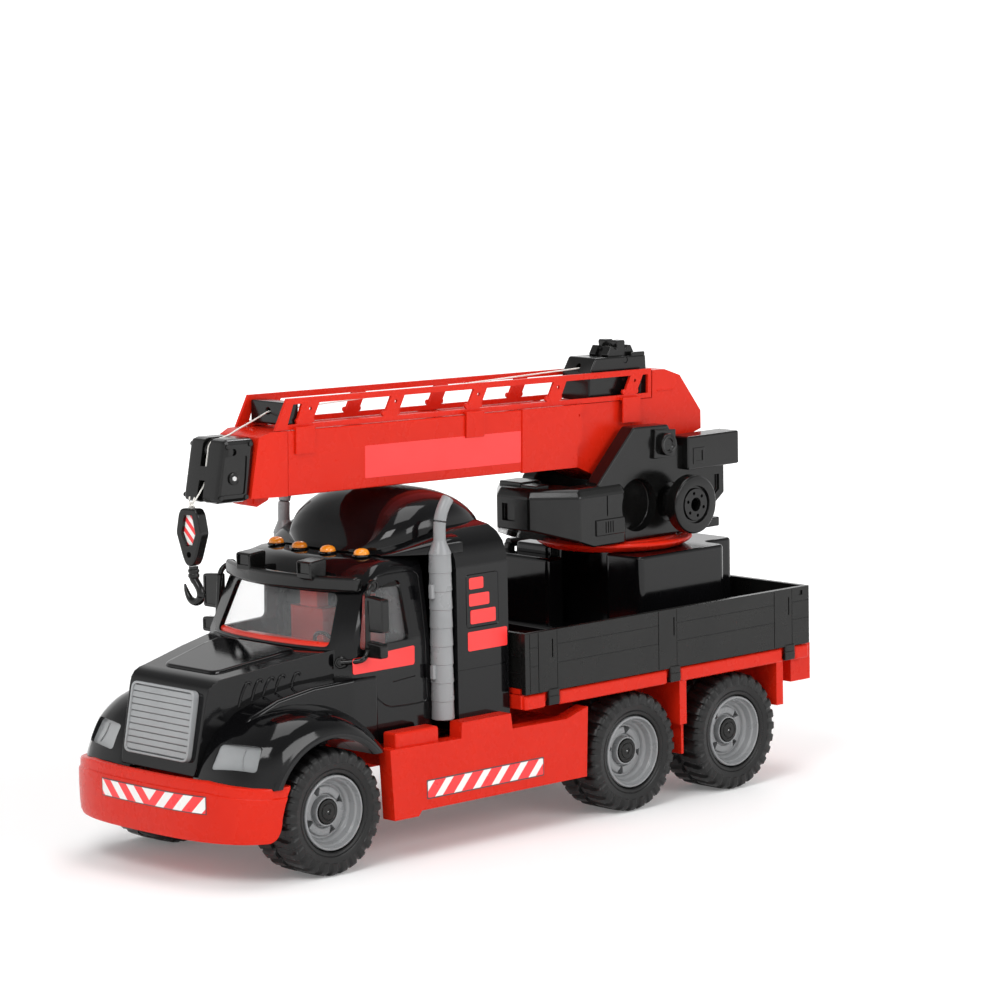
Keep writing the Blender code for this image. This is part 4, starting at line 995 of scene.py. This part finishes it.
def mirrors():
    path = [(-60, 73.5, 188), (-57, 76.2, 187.9), (-53.4, 77.6, 184.6), (-52, 78.4, 178), (-51, 79.2, 160),
            (-50, 79.8, 147), (-47.6, 80.2, 141.5), (-43, 79.4, 139.0), (-34.6, 69.6, 137.6)]
    for side, label in SIDES:
        stem = bar(smooth_path([(x, side * y, z) for x, y, z in path], 6), 1.9, sides=14)
        low, high = span(side, 77.8, 95)
        forms = []
        for x_low, x_high, z_low, z_high in ((-57, -50.2, 157.6, 182.4), (-55.4, -48.8, 140.2, 151.8)):
            out = rounded_outline([(low, z_low), (high, z_low + (0.6 if side > 0 else 0)),
                                   (high, z_high - (1.4 if side > 0 else 0)),
                                   (low, z_high - (1.4 if side < 0 else 0))], 2.2, 4)
            head = eased(plate("YZ", out, x_low, x_high), 1.0, 3, 45)
            face = slab(side, x_low - 1, x_low + 0.8, 79.6, 93.2, z_low + 2.0, z_high - 2.6)
            front = slab(side, x_high - 0.55, x_high + 1, 80.2, 92.6, z_low + 2.4, z_high - 3.0)
            forms.append(combined(head, cut=[face, front]))
        cup = [(0.05, -2.0), (3.9, -2.0), (4.2, -1.4), (4.2, 0.9), (3.4, 1.7), (2.6, 1.7), (2.3, 1.0), (0.05, 0.9)]
        top = lathe([(r, w) for r, w in cup], (-60, side * 75.2, 188), side, 32)
        foot = lathe([(r * 1.02, w) for r, w in cup], (0, 0, 0), 1, 32)
        aim_out = Vector((0.82, side * 0.57, 0.03)).normalized().rotation_difference(Vector((0, 1, 0))).inverted()
        foot.transform(Matrix.Translation((-35.2, side * 68.6, 137.6)) @ aim_out.to_matrix().to_4x4())
        whole = combined(stem, add=forms + [top, foot])
        shown(f"{label}_mirror", SEMI, whole, angle=38)


def exhausts():
    """Stacked cups, a cone, and a thin pipe bent back with an open end."""
    outer = []
    count = 9
    pitch = 115.0 / count
    for k in range(count):
        z = 89.0 + k * pitch
        outer += [(7.55, z + 0.02), (8.05, z + 0.55), (8.0, z + 1.6), (7.75, z + pitch * 0.6), (7.6, z + pitch - 0.3)]
    outer[0] = (7.4, 89.0)
    profile = [(0.05, 89.0)] + outer + [(7.9, 204.1), (7.7, 205.3), (4.75, 212.2), (4.35, 213.6), (0.05, 213.6)]
    for side, label in SIDES:
        y = side * 82
        sleeve = turned_up(profile, (STACK_X, y, 0), 56)
        bend = smooth_path([(STACK_X, y, 211), (STACK_X, y, 219), (-116.5, y, 226), (-118.2, y, 232),
                            (-121.2, y, 237.6), (-124.4, y, 241.6)], 5)
        pipe = bar(bend, 4.3, sides=28)
        end = Vector(bend[-1])
        hole = bar([Vector(bend[-3]), end + (end - Vector(bend[-2])) * 2], 3.3, sides=28)
        tabs = [slab(side, -108.8, -105.4, 81, 84.4, z, z + 10, 0.8, 2) for z in (174, 118)]
        whole = combined(sleeve, add=[combined(pipe, cut=[hole])] + tabs)
        shown(f"{label}_exhaust_stack", GREY, whole, angle=36)


FAIRING = [(-80.5, 22, 204.6), (-84, 33, 208.5), (-90, 46.5, 218.2), (-97, 53.5, 226), (-104, 58, 232),
           (-113, 61, 237.2), (-122, 63, 240.5), (-134, 64, 242.5), (-146, 64, 243), (-156, 63.3, 241.6),
           (-164, 62, 239), (-171, 60, 235), (-176, 57.6, 230.5)]
SHOULDERS = [(-84, 57, 204.3), (-90, 63.5, 206.4), (-98, 69.5, 209.4), (-106, 75, 212.2), (-114, 79.6, 214.6),
             (-121, 83, 216.4), (-127, 85.2, 217.4), (-134, 86.0, 217.4)]


def arched(sections, foot, squareness, fullness):
    """A form along the truck from half-round sections (X, half-width, top)."""
    rows = []
    for x, half, top in sections:
        row = []
        for step in range(33):
            angle = math.pi * step / 32
            c, s = math.cos(angle), math.sin(angle)
            row.append((x, half * math.copysign(abs(c) ** squareness, c), foot + (top - foot) * s ** fullness))
        rows.append(row)
    return grid(rows)


def sleeper():
    side = [(88, 79), (88, 192), (87, 199.5), (83.6, 207.4), (78, 213.4), (70.5, 217.8), (60, 220)]
    back = plate("YZ", both_halves(side), -180, -120)
    trim = rounded_outline([(-174, 40), (-174, 226), (-125.5, 226), (-125.5, 40)], 15, 8)
    block = eased(combined(back, keep=[plate("XZ", trim, -95, 95)]), 3.2, 4, 34)
    dome = arched(FAIRING, 203.9, 0.6, 0.55)
    wings = arched(SHOULDERS, 203.9, 0.45, 0.35)
    cut = [box((-170.5, -84.5, 70), (-129, 84.5, 196)), box((-168, -44, 190), (-108, 44, 222))]
    for s in (1, -1):
        loop = rounded_outline([(-134.4, 187.5), (-164.6, 187.5), (-164.6, 150.5), (-134.4, 150.5)], 2.5, 4)
        cut.append(bar([(x, s * 88.1, z) for x, z in loop], 0.45, sides=6, closed=True))
        cut.append(slab(s, -175, -124, 87.55, 90, 121.7, 122.3))
    mesh = combined(block, add=[dome, wings], cut=cut)
    shown("sleeper_deflector", GLOSS, mesh, angle=33)
    marks = ((-137.2, -150.6, 177.2, 185.2), (-137.0, -156.0, 165.4, 174.0), (-138.0, -161.8, 152.8, 162.6),
             (-135.2, -172.4, 134.2, 147.6))
    for s, label in SIDES:
        for k, (front, rear, low, high) in enumerate(marks):
            patch(f"{label}_sleeper_mark_{k + 1}", "chassis", PRINT_RED,
                  rounded_outline([(front, low), (rear, low), (rear, high), (front, high)], 1.3, 3), s * 88.08, s)
        line = rounded_outline([(-38.2, 129.6), (-94.6, 129.6), (-95.2, 142.8), (-38.2, 140.4)], 1.8, 3)
        patch(f"{label}_door_mark", "chassis", PRINT_RED, line, s * 77.62, s, lean=door_side)


def patch(name, body, material, outline, y, side, lean=None, place=TRUCK, thick=0.14):
    """A flat printed patch on a side face; lean gives the face's half-width at each height."""
    def at(x, z, out):
        return (x, side * ((lean(z) if lean else abs(y)) + out), z)
    mesh = prism([at(x, z, -0.05) for x, z in outline], [at(x, z, thick) for x, z in outline])
    unwrap(mesh, 0, 2)
    printed(name, body, material, temporary(mesh, place))


# ------------------------------------------------------------------ chassis and bed

HOOKS = (-205.0, -326.7, -448.0)


def chassis():
    add = []
    for side in (1, -1):
        add.append(slab(side, -98.5, -58.5, 83, 97, 76, 88.6, 2.0))
        for x_low, x_high in ((-198.6, -178), (-320.2, -211.4), (-441.6, -333.2), (-470.2, -454.4)):
            add.append(slab(side, x_low, x_high, 92, 99.6, 87.6, 98.2, 2.2, 4))
        add.append(slab(side, -341.4, -338.6, 80.5, 94, 33, 90, 0.7, 2))
    body = combined(cad("chassis_frame"), add=add)
    shown("chassis_frame", RED, body, ease=1.1, segments=3, angle=34)
    for side, label in SIDES:
        for grow, mat, out, tag in ((0.9, PRINT_DARK, 0.06, "edge"), (0.0, SKIRT_STRIPES, 0.2, "print")):
            low, high = 40.9 - grow, 52.5 + grow
            patch(f"{label}_skirt_stripe_{tag}", "chassis", mat,
                  rounded_outline([(-83.6 + grow, low), (-193.0 - grow, low), (-193.0 - grow, high),
                                   (-83.6 + grow, high)], 0.9, 2), side * (100.5 + out - 0.1), side)
        for k, x in enumerate(HOOKS):
            out = [(95.2, 88.4), (101.0, 88.8), (101.2, 95.4), (98.6, 95.9), (97.8, 91.9), (95.2, 91.4)]
            hook = plate("YZ", rounded_outline([(side * y, z) for y, z in out], 0.9, 3), x - 5.2, x + 5.2)
            piece(f"{label}_board_clip_{k + 1}", "chassis", SATIN, hook, ease=0.9, segments=3, angle=40)


def side_board(side, label):
    """Three planks parted by fine lines, plain posts with a slot, and small hooks over the deck's edge."""
    wall = slab(side, -469.8, -177.8, 96.0, 100.3, 98.9, 142.2, 0.5, 2)
    cut = [slab(side, -462.4, -458.4, 99.2, 101, 136.0, 139.4), slab(side, -182.6, -182.1, 99.8, 101, 99.6, 141.6),
           slab(side, -463, -184, 95, 97.6, 102.6, 138.6)]
    runs = ((-190.7, -183.0), (-310.3, -209.0), (-431.9, -329.0), (-468.5, -451.0))
    for low_x, high_x in runs:
        for z in (118.4, 131.6):
            cut.append(slab(side, low_x, high_x, 99.85, 101, z - 0.25, z + 0.25))
    for x in (-190.7, -310.3, -431.9):
        cut.append(slab(side, x - 0.3, x + 0.3, 99.6, 101, 99.6, 141.6))
    for x in (-209.0, -329.0, -451.0):
        cut.append(slab(side, x - 0.2, x + 0.2, 99.9, 101, 99.6, 141.6))
    for x in HOOKS:
        cut.append(slab(side, x, x + 1.1, 98.9, 101, 122.5, 135.8))
    body = combined(wall, cut=cut)
    hooks = [slab(side, x - 5.2, x + 5.2, 98.4, 101.1, 95.0, 100.6, 1.0) for x in HOOKS]
    shown(f"{label}_side_board", SATIN, combined(body, add=hooks), angle=40)


def bed():
    rounded("bed_floor", RED, 0.4)
    wall = combined(cad("headboard"), add=[box((-178.6, -95, z), (-177.6, 95, z + 1.4)) for z in (112.5, 125.5)]
                    + [box((-178.8, y - 4, 104), (-177.4, y + 4, 141)) for y in (-60, 0, 60)])
    shown("headboard", SATIN, wall, ease=0.5)
    side_board(1, "left")
    side_board(-1, "right")
    gate = combined(cad("tailgate"), add=[box((-470.6, y - 4.2, 101), (-468, y + 4.2, 140)) for y in (-30, 30)])
    shown("tailgate", SATIN, gate, ease=0.5)


# ------------------------------------------------------------------ crane

BASE_PLAN = [(-327, 29), (-327, 66), (-416, 66), (-416, 45), (-446, 45), (-446, -45), (-416, -45), (-416, -66),
             (-327, -66), (-327, -29), (-340, -29), (-340, 29)]


def base_and_ring():
    block = eased(plate("XY", rounded_outline(BASE_PLAN, 5, 4), 118, 175.9), 2.4, 4, 50)
    add = [eased(box((-452, -84, 103.2), (-304, 84, 120)), 3.0, 3),
           eased(box((-328, -82, 110), (-311, -14, 169)), 3.0, 4),
           eased(box((-345, -82, 110), (-327, -64, 164)), 2.4, 3),
           eased(box((-333.2, -76.8, 150), (-326.1, -71.3, 174.2)), 1.2, 3),
           eased(cylinder("X", (-344.7, -74, 173.8), 3.6, 33), 0.9, 3)]
    for y in (-66.1, 64.9):
        add.append(eased(box((-406, y, 128), (-337, y + 1.2, 168)), 0.5, 2))
    cut = [cylinder("Z", (SLEW_X, 0, 165), 13.8, 60), box((-412, -62, 95), (-344, 62, 140))]
    shown("crane_base", GLOSS, combined(block, add=add, cut=cut), angle=40)
    dish = [(13.9, 0.3), (50.2, 0.3), (52.0, 0.8), (56.6, 3.4), (58.0, 4.8), (58.1, 6.0), (57.4, 6.9), (56.0, 7.3),
            (50, 7.3), (49.4, 6.6), (47, 6.5), (46.3, 7.3), (13.9, 7.3)]
    ring = turned_up(dish, (SLEW_X, 0, 176), 144)
    shown("turntable_ring", RED, ring, angle=40)


PIVOT = (-378.0, 252.0)
KNOB = (-386.0, 208.4)
CHEEK = [(-309, 184.2), (-311, 228.5), (-349, 266.8), (-384.3, 265.8), (-390.4, 255.6), (-396.5, 249), (-443.5, 249),
         (-443.5, 209.5), (-409, 184.2)]
NOSE = [(-263.2, -16.5), (-263.2, 16.5), (-289, 43.8), (-334, 43.8), (-341, 38), (-341, -38), (-334, -43.8),
        (-289, -43.8)]


def shrunk(outline, amount):
    """An outline drawn in by amount."""
    pts = [Vector(p) for p in outline]
    area = sum(a.x * b.y - b.x * a.y for a, b in zip(pts, pts[1:] + pts[:1]))
    sign = 1 if area > 0 else -1
    out = []
    for i, p in enumerate(pts):
        a = (p - pts[i - 1]).normalized()
        b = (pts[(i + 1) % len(pts)] - p).normalized()
        na = Vector((-a.y, a.x)) * sign
        nb = Vector((-b.y, b.x)) * sign
        corner = (na + nb) / max(1 + na.dot(nb), 0.3)
        out.append(tuple(p + corner * amount))
    return out


def turret():
    nose = grid([[(x, y, z) for x, y in (shrunk(NOSE, inset) if inset else NOSE)]
                 for z, inset in ((183.9, 0), (221.2, 0), (226.4, 2.6), (227.6, 5.0))])
    nose = combined(nose, cut=[plate("XZ", [(-240, 170), (-240, 197.3), (-265, 197.2), (-303, 183.8), (-350, 183.7),
                                            (-350, 170)], -60, 60)])
    nose = eased(nose, 1.3, 3, 24)
    add = [eased(box((-442, -36, 183.9), (-330, 36, 190.9)), 1.0), cylinder("Z", (SLEW_X, 0, 172), 13.4, 30),
           eased(box((-294, -25, 225), (-274, -2, 230.4)), 1.0), eased(box((-284, 1, 225), (-271, 17, 229.4)), 0.9)]
    cut = [box((-460, -26, 191), (-296, 26, 300)), eased(box((-266.0, -11.0, 203.4), (-258, 2.0, 216.2)), 0.5)]
    for side in (1, -1):
        def side_plate(outline, y_low, y_high, ease):
            return eased(plate("XZ", outline, *span(side, y_low, y_high)), ease, 3)
        add.append(side_plate(CHEEK, 26.4, 40.2, 1.6))
        add.append(slab(side, -453.0, -398.4, 26.4, 46.4, 230.8, 255.6, 1.6))
        add.append(slab(side, -333.4, -304.4, 40, 45.0, 191.6, 203.4, 0.7))
        add.append(side_plate([(-366.5, 242), (-389.0, 242), (-389.5, 262), (-368, 263.5)], 39.4, 43.0, 0.8))
        boss = [(0.3, 1.55), (0.3, 2.0), (4.1, 2.0), (4.7, 2.9), (5.9, 3.1), (6.4, 3.5), (7.8, 3.3), (8.2, 2.6),
                (8.2, -1.5), (4.0, -1.5), (4.0, 1.55)]
        add.append(lathe(boss, (PIVOT[0], side * 44.0, PIVOT[1]), side, 48))
        add.append(combined(slab(side, -415.6, -403.8, 45, 47.0, 234.8, 246.8, 0.4),
                            cut=[slab(side, -413.4, -406.0, 46.2, 49, 237.0, 244.6)]))
        for x in (-321.4, -319.0, -316.6, -314.2):
            cut.append(slab(side, x, x + 0.9, 44.2, 47, 193.4, 201.6))
        cut.append(slab(side, -317.1, -316.0, 43.0, 46, 205.6, 220.2))
        cut.append(side_plate([(-437.5, 224), (-424.5, 224), (-424.5, 203.5), (-437.5, 212.5)], 37.8, 50, 0.6))
        cut.append(eased(cylinder("Y", (-351, side * 44, 209.5), 19.5, 24, segments=72), 0.9))
        cut.append(cylinder("Y", (KNOB[0], side * 44, KNOB[1]), 14.5, 12, segments=72))
    cut.append(cylinder("Y", (PIVOT[0], 0, PIVOT[1]), 3.9, 90.0, segments=32))
    cut.append(cylinder("Y", (KNOB[0], 35, KNOB[1]), 3.8, 40, segments=32))
    body = combined(nose, add=add, cut=cut)
    shown("turret_casing", SEMI, body, angle=38)
    rounded("luffing_pin", STEEL, 0.5)


def gear_points(centre, teeth, module, turn):
    pitch = teeth * module / 2
    step = 2 * math.pi / teeth
    points = []
    for i in range(teeth):
        for offset, radius in ((-0.36, pitch - 1.25 * module), (-0.13, pitch + 0.85 * module),
                               (0.13, pitch + 0.85 * module), (0.36, pitch - 1.25 * module)):
            angle = turn + (i + offset) * step
            points.append((centre[0] + radius * math.cos(angle), centre[1] + radius * math.sin(angle)))
    return points


def knob():
    x, z = KNOB
    profile = [(4.7, 50), (4.7, 65.3), (5.1, 65.9), (11.6, 65.9), (11.9, 65.5), (12.1, 64.2), (13.3, 64.2),
               (13.5, 65.6), (13.9, 66.4), (20.2, 66.4), (21.2, 65.6), (21.5, 64.4), (21.5, 57.2), (21.0, 56.2),
               (19.8, 55.8), (15.4, 55.8), (14.8, 54.9), (13.2, 48), (12.4, 43.4), (11.6, 43.0), (3.3, 43.0),
               (3.3, 49.8)]

    def ribs(angle, r, w):
        if 43.2 < w < 55.2 and r > 10:
            return (r - (0.55 if math.sin(angle * 24) < 0 else 0.0), w)
        return (r, w)

    disc = lathe(profile, (x, 0, z), 1, 192, ribs)
    holes = [cylinder("Y", (x + 8.4 * math.cos(t), 66, z + 8.4 * math.sin(t)), 1.25, 5,
                      segments=20) for t in (math.pi * k / 3 + 0.3 for k in range(6))]
    front = combined(disc, cut=holes)
    shown("luffing_knob", SEMI, front, angle=40)
    teeth = 36
    spacing = math.hypot(x - PIVOT[0], z - PIVOT[1])
    line = math.atan2(z - PIVOT[1], x - PIVOT[0])
    pinion = plate("XZ", gear_points(KNOB, 9, 2 * spacing / (teeth + 9), line + math.pi + math.pi / 9), 7, 14)
    shaft = cylinder("Y", (x, 26.4, z), 3.2, 46, segments=32)
    piece("luffing_pinion", "luff_knob", SEMI, combined(shaft, add=[pinion]), ease=0.2, angle=40)


def boom():
    foot = cad("boom_foot", BOOM)
    add = []
    for side in (1, -1):
        add.append(slab(side, -31, -14, 20.2, 21.1, 36.6, 37.6, 0.2))
    shown("boom_foot", RED, combined(foot, add=add), place=BOOM, ease=1.1, segments=3, angle=34)

    edge = smooth_path([(72.3, 0, -13.3), (72.0, 0, -5), (72.2, 0, 0.6), (68.2, 0, 4.6), (66.7, 0, 8.6),
                        (67.4, 0, 14.5), (67.9, 0, 17), (66.6, 0, 20.6), (69.0, 0, 25), (67.4, 0, 28.4),
                        (63.5, 0, 32.4)], 4)
    wavy = [(127.6, 32.4), (127.6, -13.3)] + [(p.x, p.z) for p in edge]
    collars = []
    for side in (1, -1):
        panel = eased(plate("XZ", wavy, *span(side, 22.4, 24.95)), 0.35, 2, 50)
        dimple = cylinder("Y", (70.6, side * 25.4, 24.6), 0.9, 2.2, segments=16)
        collars.append(combined(panel, cut=[dimple]))
    hollow = [box((60, -20.9, -10.2), (400, 20.9, 30.0))]
    hollow += [slab(side, 60, 92, 23.0, 26, -16, 36) for side in (1, -1)]
    sleeve = combined(combined(eased(box((72.0, -24.0, -12.4), (347.4, 24.0, 32.15)), 1.0, 3), cut=hollow),
                      add=collars)
    shown("boom_sleeve", RED, sleeve, place=BOOM, angle=34)
    for side, label in SIDES:
        patch(f"{label}_boom_mark", "boom", PRINT_RED, rounded_outline([(128.5, -5.4), (277.5, -5.4), (277.5, 17.2),
                (128.5, 17.2)], 0.8, 2), side * 24.02, side, place=BOOM)
    rails()


RAIL_POSTS = (329.2, 250.5, 171.6, 92.7, 14.3)


def rails():
    for side, label in SIDES:
        add = []
        cut = []
        for x in RAIL_POSTS:
            cut.append(cylinder("Y", (x - 4.4, side * 20, 46), 1.25, 9, segments=16))
            for step in (-6.2, 6.6):
                add.append(cylinder("Y", (x + step, side * 20.4, 38.2), 1.9, 1.8, segments=20))
        body = combined(cad(f"{label}_lattice_rail", BOOM), add=add, cut=cut)
        shown(f"{label}_lattice_rail", RED, body, place=BOOM, ease=0.45, segments=2, angle=36)


WINCH = (13.0, 61.0)


def winch():
    side_form = [(50.6, 32.9), (50.2, 52.5), (43.4, 63.8), (-8.4, 63.8), (-9.2, 54.0), (-9.2, 32.9)]
    housing = combined(eased(plate("XZ", side_form, -14.4, 14.4), 1.5, 3),
                       cut=[eased(cylinder("Y", (WINCH[0], 0, WINCH[1]), 16.4, 21.4, segments=72), 0.5, 2),
                            cylinder("Y", (WINCH[0], 0, WINCH[1]), 2.5, 60, segments=24),
                            cylinder("X", (44, 0, 57.2), 2.3, 30, segments=24)],
                       add=[eased(box((-8.0, y, 60), (6.0, y + 2.6, 66.2)), 0.8) for y in (-13.8, 11.2)])
    shown("winch_housing", SEMI, housing, place=BOOM, angle=40)
    lobes = []
    for k in range(6):
        for step, r in ((-0.40, 9.4), (-0.33, 13.2), (-0.25, 14.7), (0.25, 14.7), (0.33, 13.2), (0.40, 9.4)):
            angle = math.radians(90 + 60 * (k + step))
            lobes.append((WINCH[0] + r * math.cos(angle), WINCH[1] + r * math.sin(angle)))
    wheel = eased(plate("XZ", lobes, -9.8, 9.8), 0.8, 3, 40)
    groove = lathe([(11.6, -2.6), (16.5, -3.4), (16.5, 3.4), (11.6, 2.6)], (WINCH[0], 0, WINCH[1]), 1, 64)
    wheel = combined(wheel, cut=[groove], add=[cylinder("Y", (WINCH[0], 0, WINCH[1]), 2.1, 28, segments=24)])
    shown("winch_wheel", SEMI, wheel, place=BOOM, angle=40)
    shown("rope_guide", SEMI, combined(cad("rope_guide", BOOM)), place=BOOM, ease=0.5, segments=2, angle=40)


PULLEY = (391.0, 20.4)


def head():
    add = []
    for side in (1, -1):
        add.append(slab(side, 361.5, 365.5, 7.2, 9.6, -17.6, -12, 0.6))
    tip = combined(cad("inner_boom", BOOM), add=add)
    shown("inner_boom", RED, tip, place=BOOM, ease=0.9, segments=3, angle=30)

    forms = []
    cuts = []
    for side in (1, -1):
        panel = rounded_outline([(379.4, 17.5), (398.2, 17.5), (402.2, -8.5), (381.8, -8.5), (380.2, 4)], 1.4, 3)
        cuts.append(plate("XZ", panel, *span(side, 17.7, 30)))
        for x, z in ((376.6, 25.2), (396.2, 24.2), (380.6, -10.6), (402.6, -10.2)):
            forms.append(eased(cylinder("Y", (x, side * 18.9, z), 1.7, 1.6, segments=20), 0.4))
        boss = [(1.95, 0), (4.4, 0), (4.2, 1.5), (3.0, 1.9), (1.95, 1.9)]
        forms.append(lathe(boss, (391, side * 17.4, 2.5), side, 32))
    body = combined(cad("boom_head", BOOM), cut=cuts)
    body = combined(body, add=forms)
    shown("boom_head", SEMI, body, place=BOOM, ease=0.55, segments=2, angle=36)
    sheave = [(2.0, -2.8), (7.9, -2.8), (8.3, -2.4), (8.3, -1.7), (6.7, -0.7), (6.7, 0.7), (8.3, 1.7), (8.3, 2.4),
              (7.9, 2.8), (2.0, 2.8)]
    wheel = lathe(sheave, (PULLEY[0], 0, PULLEY[1]), 1, 64)
    axle = cylinder("Y", (PULLEY[0], 0, PULLEY[1]), 2.0, 34, segments=32)
    shown("head_pulley", SEMI, merged(wheel, axle), place=BOOM, angle=40)
    pin = eased(cylinder("Y", (391, 0, 2.5), 1.9, 39.4, segments=40), 0.7, 3)
    shown("head_pin", STEEL, pin, place=BOOM, angle=40)


# ------------------------------------------------------------------ cord and hook

def cord_path():
    """The cord's line in the boom frame: winch, guide, head pulley, and down through the head."""
    first = [(44.5, 56), (120, 53.2), (230, 48.7), (332, 44.4), (345.6, 43.5)]
    second = [(345.6, 43.5), (358, 38.6), (372, 33.5), (380, 30.2)]
    arc = []
    for degrees in range(105, -11, -12):
        angle = math.radians(degrees)
        arc.append((PULLEY[0] + 7.4 * math.cos(angle), PULLEY[1] + 7.4 * math.sin(angle)))
    second += arc[1:] + [(400.3, 8), (400.6, 0), (405.5, -7), (411, -13.6)]
    return [(x, 0, z) for x, z in first], [(x, 0, z) for x, z in second]


def twisted(points, radius, strands=3, pitch=3.2, sides=18):
    """A laid cord: a tube whose section has three soft lobes that turn along it."""
    pts = [Vector(p) for p in points]
    rows = []
    travelled = 0.0
    for i, p in enumerate(pts):
        if i:
            travelled += (p - pts[i - 1]).length
        along = (pts[min(i + 1, len(pts) - 1)] - pts[max(i - 1, 0)]).normalized()
        across = along.cross(Vector((0, 1, 0)))
        if across.length < 0.2:
            across = along.cross(Vector((1, 0, 0)))
        across.normalize()
        up = across.cross(along).normalized()
        turn = 2 * math.pi * travelled / pitch / strands
        rows.append([p + (across * math.cos(t) + up * math.sin(t)) * radius
                     * (0.93 + 0.07 * math.cos(strands * (t - turn)))
                     for t in (2 * math.pi * k / sides for k in range(sides))])
    return grid(rows)


def resampled(points, step):
    """Points along a line, about step apart."""
    pts = [Vector(p) for p in points]
    out = [pts[0]]
    for a, b in zip(pts, pts[1:]):
        count = max(1, round((b - a).length / step))
        for k in range(1, count + 1):
            out.append(a.lerp(b, k / count))
    return out


def length_of(points):
    return sum((Vector(b) - Vector(a)).length for a, b in zip(points, points[1:]))


def cord_piece(name, body, points, node, bodies=None, ends=None):
    line = resampled(smooth_path(points, 6), 0.8)
    obj = piece(name, body, CORD, twisted(line, 0.6), place=BOOM, angle=60, stands_for=[node], ride=not bodies)
    world = [BOOM @ p for p in line]
    if bodies:
        BOOM @ Vector(ends[0])
        BOOM @ Vector(ends[1])
        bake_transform(obj)
    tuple(world[0])
    length_of(world)


def cords():
    first, second = cord_path()
    cord_piece("winch_cord", "boom", first, "cord_along_boom")
    cord_piece("head_cord", "telescope", second, "cord_over_head", ("boom", "telescope"), (second[0], (376, 0, 32)))
    knot = []
    for k in range(25):
        t = 2 * math.pi * k / 24
        knot.append((HOOK_X + 0.9 * math.sin(2 * t), 1.7 * math.cos(t), 246.4 + 1.3 * math.sin(t)))
    tails = [bar(smooth_path([(35.2, 0.6, 247), (35.6, 2.2, 249.6), (35.2, 3.4, 252.4)], 5), 0.5),
             bar(smooth_path([(34.8, -0.6, 247), (35.4, -2.0, 249.2), (35.8, -1.2, 252.6)], 5), 0.5)]
    loops = [bar(knot[:-1], 0.62, closed=True), bar([(p[0] + 0.4, -p[1] * 0.6, p[2] + 1.0) for p in knot[:-1]], 0.6,
                                                    closed=True)]
    shown("cord_knot", CORD, merged(*loops, *tails), angle=60)
    drop = resampled([(HOOK_X, 0, 247.4), (HOOK_X, 0, 243.4)], 0.4)
    obj = piece("hoist_cord", "rope_end", CORD, twisted(drop, 0.6), angle=60, ride=False)
    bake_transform(obj)


BLOCK_FACE = [(6.5, 244.8), (9, 241), (11.6, 228), (5.5, 210), (2.6, 205.6)]
BLOCK_WINDOW = [(3.6, 240.5), (6.4, 228), (2.8, 219.5)]


def hook_block():
    place = (TRUCK @ Matrix.Translation((HOOK_X, 0, 0)) @ Matrix.Rotation(HOOK_TURN, 4,
            "Z") @ Matrix.Translation((-HOOK_X, 0, 0)))
    face = rounded_outline(both_halves(BLOCK_FACE), 2.4, 4)
    window = rounded_outline(both_halves(BLOCK_WINDOW), 1.0, 3)
    slab = plate("YZ", face, 30.6, 39.4)
    cut = [plate("YZ", window, 36.9, 45), plate("YZ", window, 25, 33.1),
           cylinder("X", (HOOK_X, 0, 213.5), 1.9, 20, segments=32)]
    body = combined(eased(slab, 1.3, 3, 40), cut=cut)
    shown("hook_block", SEMI, body, place=place, ease=0.3, segments=2, angle=40)
    for tag, x in (("front", 36.95), ("rear", 33.05)):
        inner = shrunk(both_halves(BLOCK_WINDOW), 0.35)
        thin = plate("YZ", inner, x - 0.08, x + 0.08)
        obj = temporary(thin, place)
        unwrap(obj.data, 1, 2, 1000)
        printed(f"hook_block_print_{tag}", "hook_block_body", HOOK_STRIPES, obj)
    path = [(0, 205.2), (0, 197.5), (2.2, 194.2), (5.2, 190), (6.2, 186), (4.8, 182.4), (1.4, 180.9), (-2.4, 181.6),
            (-5.2, 184.4), (-7.2, 188.4), (-8.4, 192.4)]
    radii = [1.25, 1.2, 1.05, 1.05, 1.1, 1.1, 1.05, 0.95, 0.8, 0.6, 0.25]
    line = smooth_path([(HOOK_X, y, z) for y, z in path], 6)
    thick = [float(np.interp(i / 6, range(len(radii)), radii)) for i in range(len(line))]
    collar = turned_up([(0.05, 197.2), (3.2, 197.2), (3.9, 198.0), (3.9, 199.6), (3.3, 200.2), (3.3, 200.8),
                        (3.9, 201.4), (3.9, 202.8), (3.2, 203.4), (0.05, 203.4)], (HOOK_X, 0, 0), 32)
    shown("hook", SEMI, merged(bar(line, 2.6, thick, 16), collar), place=place, angle=50)


for build in (camera, studio, cords, wheels, bumper, cab, grille, headlamps, cab_windows, visor, roof_lights, mirrors,
              exhausts, sleeper, chassis, bed, base_and_ring, turret, knob, boom, winch, head, hook_block):
    build()
